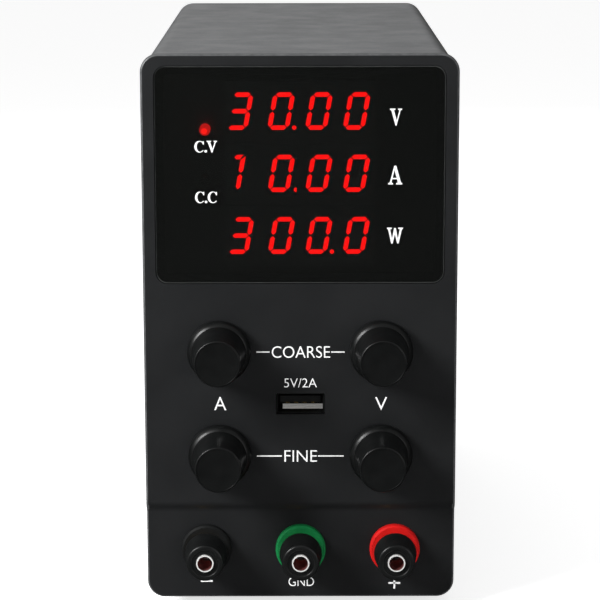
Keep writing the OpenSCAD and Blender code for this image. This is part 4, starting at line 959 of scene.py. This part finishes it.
def digit_row(name, digits, z, dot_x):
    """Four lit digits and their point, as one piece."""
    bm = bmesh.new()
    for i, digit in enumerate(digits):
        x = SECOND_X + (i - 1) * DIGIT_PITCH if i else FIRST_X
        shift = ONE_SHIFT if digit == "1" else 0
        for letter in BARS[digit]:
            add_bar(bm, BAR_ENDS[letter], shift, x, z, "first" if digit + letter == "1b" else None)
        if digit == "1":
            add_bar(bm, ((HALF_W - ONE_FLAG, HALF_H), (HALF_W, HALF_H)), shift, x, z, "last")
    add_dot(bm, dot_x, z - DIGIT_H / 2 + DOT_R)
    print(name, "faces", len(bm.faces))
    finished(bm, name, "segment", "case")


digit_row("volts_digits", "3000", 137.6, -1.56)
digit_row("amps_digits", "1000", 120.5, -1.11)
digit_row("watts_digits", "3000", 103.28, 8.74)

# %% [markdown]
# The lit lamp is a clear red lens with its chip deep inside, so it is brightest a little below
# its middle and darker round its rim. A small dome in front of the lens stands for that core.

# %% Lamp core
CORE_R = 0.8
CORE_DEPTH = 0.35
CORE_SHIFT = (-0.1, 0.12, -0.1)


def lamp_core(lamp):
    low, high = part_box(lamp)
    front = Vector(((low.x + high.x) / 2, low.y, (low.z + high.z) / 2))
    stand = Matrix.Translation(front + Vector(CORE_SHIFT) * MM)
    bm = bmesh.new()
    bmesh.ops.create_uvsphere(bm, u_segments=24, v_segments=12, radius=CORE_R * MM,
                              matrix=stand @ Matrix.Diagonal((1, CORE_DEPTH, 1, 1)))
    return finished(bm, "lamp_core", "lamp_core", "case")


print(lamp_core("voltage_lamp").name)

# %% [markdown]
# Printed words. Screen printing is a flat skin of ink, so a word is thin but still real
# geometry. Blender's own typeface serves for the plain words. The few letters with
# feet beside the display are drawn as outlines, because that typeface has no feet.

# %% Ink from a curve
INK = 0.02
THIN_STROKE = -0.006


def as_ink(curve, x, z, height, width, depth):
    """Turns a flat curve into ink of that height and width, centred at x and z on a face."""
    holder = bpy.data.objects.new("outline", curve)
    bpy.context.scene.collection.objects.link(holder)
    bpy.context.view_layer.update()
    graph = bpy.context.evaluated_depsgraph_get()
    mesh = bpy.data.meshes.new_from_object(holder.evaluated_get(graph))
    bpy.data.objects.remove(holder)
    bm = bmesh.new()
    bm.from_mesh(mesh)
    bpy.data.meshes.remove(mesh)
    bmesh.ops.remove_doubles(bm, verts=bm.verts, dist=MERGE * 10)
    corners = [v.co for v in bm.verts]
    low = Vector([min(c[i] for c in corners) for i in (0, 1)])
    high = Vector([max(c[i] for c in corners) for i in (0, 1)])
    for v in bm.verts:
        across = ((v.co.x - low.x) / (high.x - low.x) - 0.5) * width
        up = ((v.co.y - low.y) / (high.y - low.y) - 0.5) * height
        v.co = place(x + across, depth - INK, z + up)
    skin = bmesh.ops.extrude_face_region(bm, geom=bm.faces[:])["geom"]
    move_new(bm, skin, (0, INK * MM, 0))
    return bm


def word(name, text, x, z, height, width, depth=0.0):
    """A word in Blender's own typeface, printed on the panel."""
    curve = bpy.data.curves.new(name, "FONT")
    curve.body = text
    curve.resolution_u = 6
    curve.offset = THIN_STROKE
    ink = as_ink(curve, x, z, height, width, depth)
    print("printed", finished(ink, name, "print", "case").name)


# %% [markdown]
# What is printed on the panel. Each word has its place, height and width in millimetres, and
# fine lines tie the words to their knobs. The marks of the terminals lie in the recess, a
# millimetre behind the panel's face.

# %% Plain words and lines
LINE = 0.35
SIGN_STROKE = 0.5
RECESS = 1.0
LINES = ((-12.16, -8.49, 71.18), (8.53, 12.26, 71.14), (-12.15, -5.21, 41.48), (4.88, 12.04, 41.46))


def rule_line(bm, x0, x1, z, thick=LINE, depth=0.0):
    """A printed line from x0 to x1, whose middle is at height z."""
    low, high = place(x0, depth - INK, z - thick / 2), place(x1, depth, z + thick / 2)
    bmesh.ops.create_cube(bm, size=1.0, matrix=Matrix.Translation((low + high) / 2)
                          @ Matrix.Diagonal((high - low).to_4d()))


word("coarse_word", "COARSE", 0.16, 71.16, 3.3, 16.1)
word("fine_word", "FINE", 0.06, 41.47, 3.3, 9.1)
word("port_word", "5V/2A", 0.04, 62.4, 2.6, 9.1)
word("amps_letter", "A", -22.25, 56.55, 3.75, 3.35)
word("volts_letter", "V", 22.4, 56.45, 3.75, 3.35)
word("ground_word", "GND", 0.15, 4.55, 2.6, 7.2, RECESS)
bm = bmesh.new()
for x0, x1, z in LINES:
    rule_line(bm, x0, x1, z)
rule_line(bm, -28.2, -24.78, 4.8, SIGN_STROKE, RECESS)
rule_line(bm, 24.75, 28.09, 4.11, SIGN_STROKE, RECESS)
rule_line(bm, 26.16, 26.66, 4.11, 3.3, RECESS)
print(finished(bm, "printed_lines", "print", "case").name)

# %% [markdown]
# Letters with feet. Each is an outline in units of its own height, made into a flat curve
# that Blender fills. The C is two arcs joined by its beaks.

# %% Outlines of the letters
WINDOW_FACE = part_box("display_window")[0].y / MM - FACE_Y


def bow(cx, cy, rx, ry, start, end, steps=14):
    """Points along part of an ellipse."""
    angles = [math.radians(start + (end - start) * i / steps) for i in range(steps + 1)]
    return [(cx + rx * math.cos(a), cy + ry * math.sin(a)) for a in angles]


LETTERS = {
    "V": [[(0, 1), (0.38, 1), (0.38, 0.94), (0.28, 0.91), (0.48, 0.30), (0.66, 0.91),
           (0.56, 0.94), (0.56, 1), (0.85, 1), (0.85, 0.94), (0.75, 0.91), (0.46, 0), (0.40, 0),
           (0.09, 0.91), (0, 0.94)]],
    "A": [[(0, 0), (0.30, 0), (0.30, 0.07), (0.20, 0.10), (0.25, 0.28), (0.55, 0.28), (0.61, 0.10),
           (0.50, 0.07), (0.50, 0), (0.88, 0), (0.88, 0.07), (0.80, 0.10), (0.50, 1), (0.38, 1),
           (0.10, 0.10), (0, 0.07)], [(0.275, 0.35), (0.53, 0.35), (0.39, 0.78)]],
    "W": [[(0, 1), (0.34, 1), (0.34, 0.93), (0.22, 0.90), (0.36, 0.28), (0.50, 0.97), (0.62, 0.97),
           (0.76, 0.28), (0.90, 0.90), (0.78, 0.93), (0.78, 1), (1.12, 1), (1.12, 0.93), (1.04, 0.90),
           (0.82, 0), (0.72, 0), (0.56, 0.60), (0.40, 0), (0.30, 0), (0.08, 0.90), (0, 0.93)]],
    "C": [[(0.76, 0.98), (0.76, 0.68), (0.70, 0.68)] + bow(0.46, 0.5, 0.27, 0.44, 42, 316)
          + [(0.76, 0.20), (0.80, 0.24)] + bow(0.42, 0.5, 0.42, 0.5, 318, 52) + [(0.70, 0.98)]],
    ".": [bow(0.11, 0.11, 0.11, 0.11, 0, 340, 12)],
}


def footed(name, text, starts, x, z, height, width):
    """Letters from the outlines above, each begun at its own place along the word."""
    curve = bpy.data.curves.new(name, "CURVE")
    curve.dimensions = "2D"
    curve.fill_mode = "BOTH"
    for letter, start in zip(text, starts):
        for outline in LETTERS[letter]:
            spline = curve.splines.new("POLY")
            spline.points.add(len(outline) - 1)
            for point, (u, v) in zip(spline.points, outline):
                point.co = (start + u, v, 0, 1)
            spline.use_cyclic_u = True
    ink = as_ink(curve, x, z, height, width, WINDOW_FACE)
    print("printed", finished(ink, name, "print", "case").name)


# %% [markdown]
# The letters with feet are printed on the outside of the pane: a unit beside each row of
# digits, and the name of each mode beside its lamp.

# %% Letters on the window
footed("volts_unit", "V", [0], 26.05, 136.22, 4.65, 3.3)
footed("amps_unit", "A", [0], 25.95, 120.38, 5.15, 3.85)
footed("watts_unit", "W", [0], 25.96, 103.68, 4.4, 4.4)
footed("voltage_mode", "C.V", [0, 0.8, 0.98], -25.6, 128.25, 3.2, 6.2)
footed("current_mode", "C.C", [0, 0.8, 1.05], -25.6, 114.35, 3.2, 6.1)
print("window face", round(WINDOW_FACE, 2), "behind the panel's face")

# %% [markdown]
# The charging port's metal shell. Its mouth is painted black as painted shade, and its lower
# wall further in is painted pale with a faint glow as painted light. The copy is cut where the
# painted light begins, so the edge between both finishes is straight, and only faces of the
# lower wall get the pale finish.

# %% Port shell
# Painted shade covers the shell to this depth, and painted light lies on the lower wall beyond.
PORT_SHADE = 3.8
PAINTED_LIGHT_FROM = 1.6


def paint_port_light():
    """The metal shell: painted black at its mouth as painted shade, and pale with a faint glow on its
    lower wall as painted light.
    """
    # The black over the whole shell is painted shade; only the lower wall gets painted light.
    shell = smooth_copy("port_shell", "port_shell_painted_light", "dull_black", "case")
    shell.data.materials.append(FINISH["port_painted_light"])
    low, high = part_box("port_shell")
    bm = bmesh.new()
    bm.from_mesh(shell.data)
    cut_across(bm, (0, low.y + PORT_SHADE * MM, 0), (0, 1, 0))
    cut_across(bm, (low.x + PAINTED_LIGHT_FROM * MM, 0, 0), (1, 0, 0))
    painted_lit = 0
    for face in bm.faces:
        spot = face.calc_center_median()
        lit = spot.y > low.y + PORT_SHADE * MM and spot.x > low.x + PAINTED_LIGHT_FROM * MM
        # These faces of the lower wall get the painted light.
        if lit and face.normal.z > 0.9 and spot.z < (low.z + high.z) / 2:
            face.material_index = 1
            painted_lit += 1
    bm.to_mesh(shell.data)
    bm.free()
    print("rubbed faces in the port:", painted_lit)


paint_port_light()

# %% [markdown]
# Four contacts lie on the underside of the port's tongue. They are thin plates of
# gold-plated bronze, let into the plastic, and their bright front edges show in the slot.

# %% Port contacts
CONTACT = (1.04, 6.2, 0.12)
CONTACT_PITCH = 2.4
CONTACT_BACK = 3.6
CONTACT_DROP = 0.02
CONTACT_EDGE = 0.03


def port_contacts():
    low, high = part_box("port_tongue")
    middle_x = (low.x + high.x) / 2
    size = Matrix.Diagonal([side * MM for side in CONTACT] + [1])
    bm = bmesh.new()
    for i in (-1.5, -0.5, 0.5, 1.5):
        stand = Matrix.Translation((middle_x + i * CONTACT_PITCH * MM, low.y + CONTACT_BACK * MM,
                                    low.z - CONTACT_DROP * MM))
        made = bmesh.ops.create_cube(bm, size=1.0, matrix=stand @ size)
        edges = list({e for v in made["verts"] for e in v.link_edges})
        bmesh.ops.bevel(bm, geom=edges, offset=CONTACT_EDGE * MM, segments=2, profile=0.5,
                        affect="EDGES", material=-1)
    return finished(bm, "port_contacts", "gold", "case")


print(port_contacts().name)

# %% [markdown]
# Screws. The model has them as plain round heads. Here each outer screw gets a head with a
# rounded rim and a cross recess: the field between a round loop and a cross-shaped loop is
# filled, and the cross is pushed in. The rim is then drawn out and back ring by ring, as the
# shares in HEAD_RINGS say, down to the shank. A boolean cut would need clean-up afterwards.

# %% Screw with a cross recess
CROSS_ARM = 0.34
CROSS_REACH = 0.62
CROSS_DEPTH = 0.62
CROSS_TAPER = 0.8
FLAT_TOP = 0.82
HEAD_RINGS = ((0.95, 0.1), (1, 0.32), (1, 1))


def screw(bm, head_top, outward, head_r, head_h, shank_r, length):
    """A pan-head screw whose head's top is at head_top and faces outward."""
    made = set(bm.verts)
    ring = bmesh.ops.create_circle(bm, segments=32, radius=head_r * FLAT_TOP)["verts"]
    rim = list({e for v in ring for e in v.link_edges})
    arm, reach = CROSS_ARM * head_r / 2, CROSS_REACH * head_r
    quarter = [(reach, -arm), (reach, arm), (arm, arm)]
    points = []
    for turn in range(4):
        spin = Matrix.Rotation(math.pi / 2 * turn, 2)
        points += [spin @ Vector(p) for p in quarter]
    cross = [bm.verts.new((p.x, p.y, 0)) for p in points]
    loop = [bm.edges.new(pair) for pair in zip(cross, cross[1:] + cross[:1])]
    bmesh.ops.triangle_fill(bm, use_beauty=True, edges=rim + loop, normal=(0, 0, 1))
    pushed = bmesh.ops.extrude_edge_only(bm, edges=loop)["geom"]
    move_new(bm, pushed, (0, 0, -head_h * CROSS_DEPTH))
    floor_verts = [v for v in pushed if isinstance(v, bmesh.types.BMVert)]
    bmesh.ops.scale(bm, vec=(CROSS_TAPER, CROSS_TAPER, 1), verts=floor_verts)
    bmesh.ops.contextual_create(bm, geom=[e for e in pushed if isinstance(e, bmesh.types.BMEdge)])
    rings = [(head_r * wide, head_h * deep) for wide, deep in HEAD_RINGS]
    for radius, depth in rings + [(shank_r, head_h), (shank_r, head_h + length)]:
        out = bmesh.ops.extrude_edge_only(bm, edges=rim)["geom"]
        rim = [e for e in out if isinstance(e, bmesh.types.BMEdge)]
        for v in {v for e in rim for v in e.verts}:
            flat = Vector((v.co.x, v.co.y)).normalized() * radius
            v.co = (flat.x, flat.y, -depth)
    bmesh.ops.contextual_create(bm, geom=rim)
    turn = Vector((0, 0, 1)).rotation_difference(Vector(outward)).to_matrix().to_4x4()
    new = [v for v in bm.verts if v not in made]
    bmesh.ops.scale(bm, vec=(MM, MM, MM), verts=new)
    bmesh.ops.transform(bm, matrix=Matrix.Translation(head_top) @ turn, verts=new)


# %% [markdown]
# The places and sizes are read from the model's own screws, so nothing is typed twice. All of
# them are one node, and once its loose triangles are merged, each group of joined points is one
# screw. A screw is as wide as it is deep across its own line, which tells the way it points.
# The screws in the sides go in as far as the cover did.

# %% Outer screws
BIG_HEAD, SMALL_HEAD = 2.4, 1.2
SHANK = 0.53


def loose_boxes(node):
    """The lowest and highest corner of each separate solid of a node."""
    bm = bmesh.new()
    bm.from_mesh(NODES[node].data)
    bmesh.ops.remove_doubles(bm, verts=bm.verts, dist=MERGE)
    left, boxes = set(bm.verts), []
    while left:
        group, edge = set(), {left.pop()}
        while edge:
            group |= edge
            edge = {e.other_vert(v) for v in edge for e in v.link_edges} - group
        left -= group
        boxes.append([Vector([f(v.co[i] for v in group) for i in range(3)]) for f in (min, max)])
    bm.free()
    return boxes


def outer_screws():
    bm = bmesh.new()
    boxes = loose_boxes("outer_screws")
    for low, high in boxes:
        size, spot = high - low, (low + high) / 2
        axis = min(range(3), key=lambda i: abs(size[(i + 1) % 3] - size[(i + 2) % 3]))
        outward = Vector((0, 0, 0))
        outward[axis] = 1 if spot[axis] > CENTRE[axis] else -1
        head_r = size[(axis + 1) % 3] / 2 / MM
        head_h = BIG_HEAD if head_r > 3 else SMALL_HEAD
        top = spot.copy()
        top[axis] = high[axis] if outward[axis] > 0 else low[axis]
        if axis == 0:
            top.x -= outward.x * COVER_INSET * MM
        screw(bm, top, outward, head_r, head_h, head_r * SHANK, size[axis] / MM - head_h)
    print("screws:", len(boxes))
    heads = finished(bm, "cross_head_screws", "dark_zinc", "case")
    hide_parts("outer_screws")


outer_screws()

# %% [markdown]
# The switch carries the usual marks, a bar for on and a ring for off. Each lies on its own
# pressed face, so the face is found by a ray cast onto the model's paddle, and
# the mark is laid along it.

# %% Marks on the switch
ON_BAR = (0.6, 2.6)
OFF_RING = (1.45, 0.95)


def on_face(node, x, z):
    """Where a ray from behind meets a node, and the way that face looks."""
    behind = Vector((x, cad_box[1].y + 0.1, z))
    hit, spot, normal, _ = NODES[node].ray_cast(behind, Vector((0, -1, 0)))
    print("mark on", node, "hit", hit, [round(v, 4) for v in spot])
    return spot, normal


def lay(bm, verts, spot, normal):
    """Lays what is drawn flat on X and Y onto a face."""
    up = Vector((0, 0, 1))
    across = up.cross(normal).normalized()
    up = normal.cross(across)
    turn = Matrix((across, up, normal)).transposed().to_4x4()
    bmesh.ops.transform(bm, matrix=Matrix.Translation(spot) @ turn, verts=verts)


def switch_marks():
    low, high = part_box("rocker_paddle")
    x, z = (low.x + high.x) / 2, (low.z + high.z) / 2
    reach = (high.z - low.z) / 4
    bm = bmesh.new()
    size = Matrix.Diagonal((ON_BAR[0] * MM, ON_BAR[1] * MM, INK * 2 * MM, 1))
    bar = bmesh.ops.create_cube(bm, size=1.0, matrix=size)
    lay(bm, bar["verts"], *on_face("rocker_paddle", x, z + reach))
    before = set(bm.verts)
    circles = [bmesh.ops.create_circle(bm, segments=40, radius=r * MM)["verts"] for r in OFF_RING]
    edges = list({e for v in circles[0] + circles[1] for e in v.link_edges})
    ring = bmesh.ops.bridge_loops(bm, edges=edges)["faces"]
    thick = bmesh.ops.extrude_face_region(bm, geom=ring)["geom"]
    move_new(bm, thick, (0, 0, INK * MM))
    lay(bm, [v for v in bm.verts if v not in before], *on_face("rocker_paddle", x, z - reach))
    return finished(bm, "switch_marks", "print", "rocker")


print(switch_marks().name)
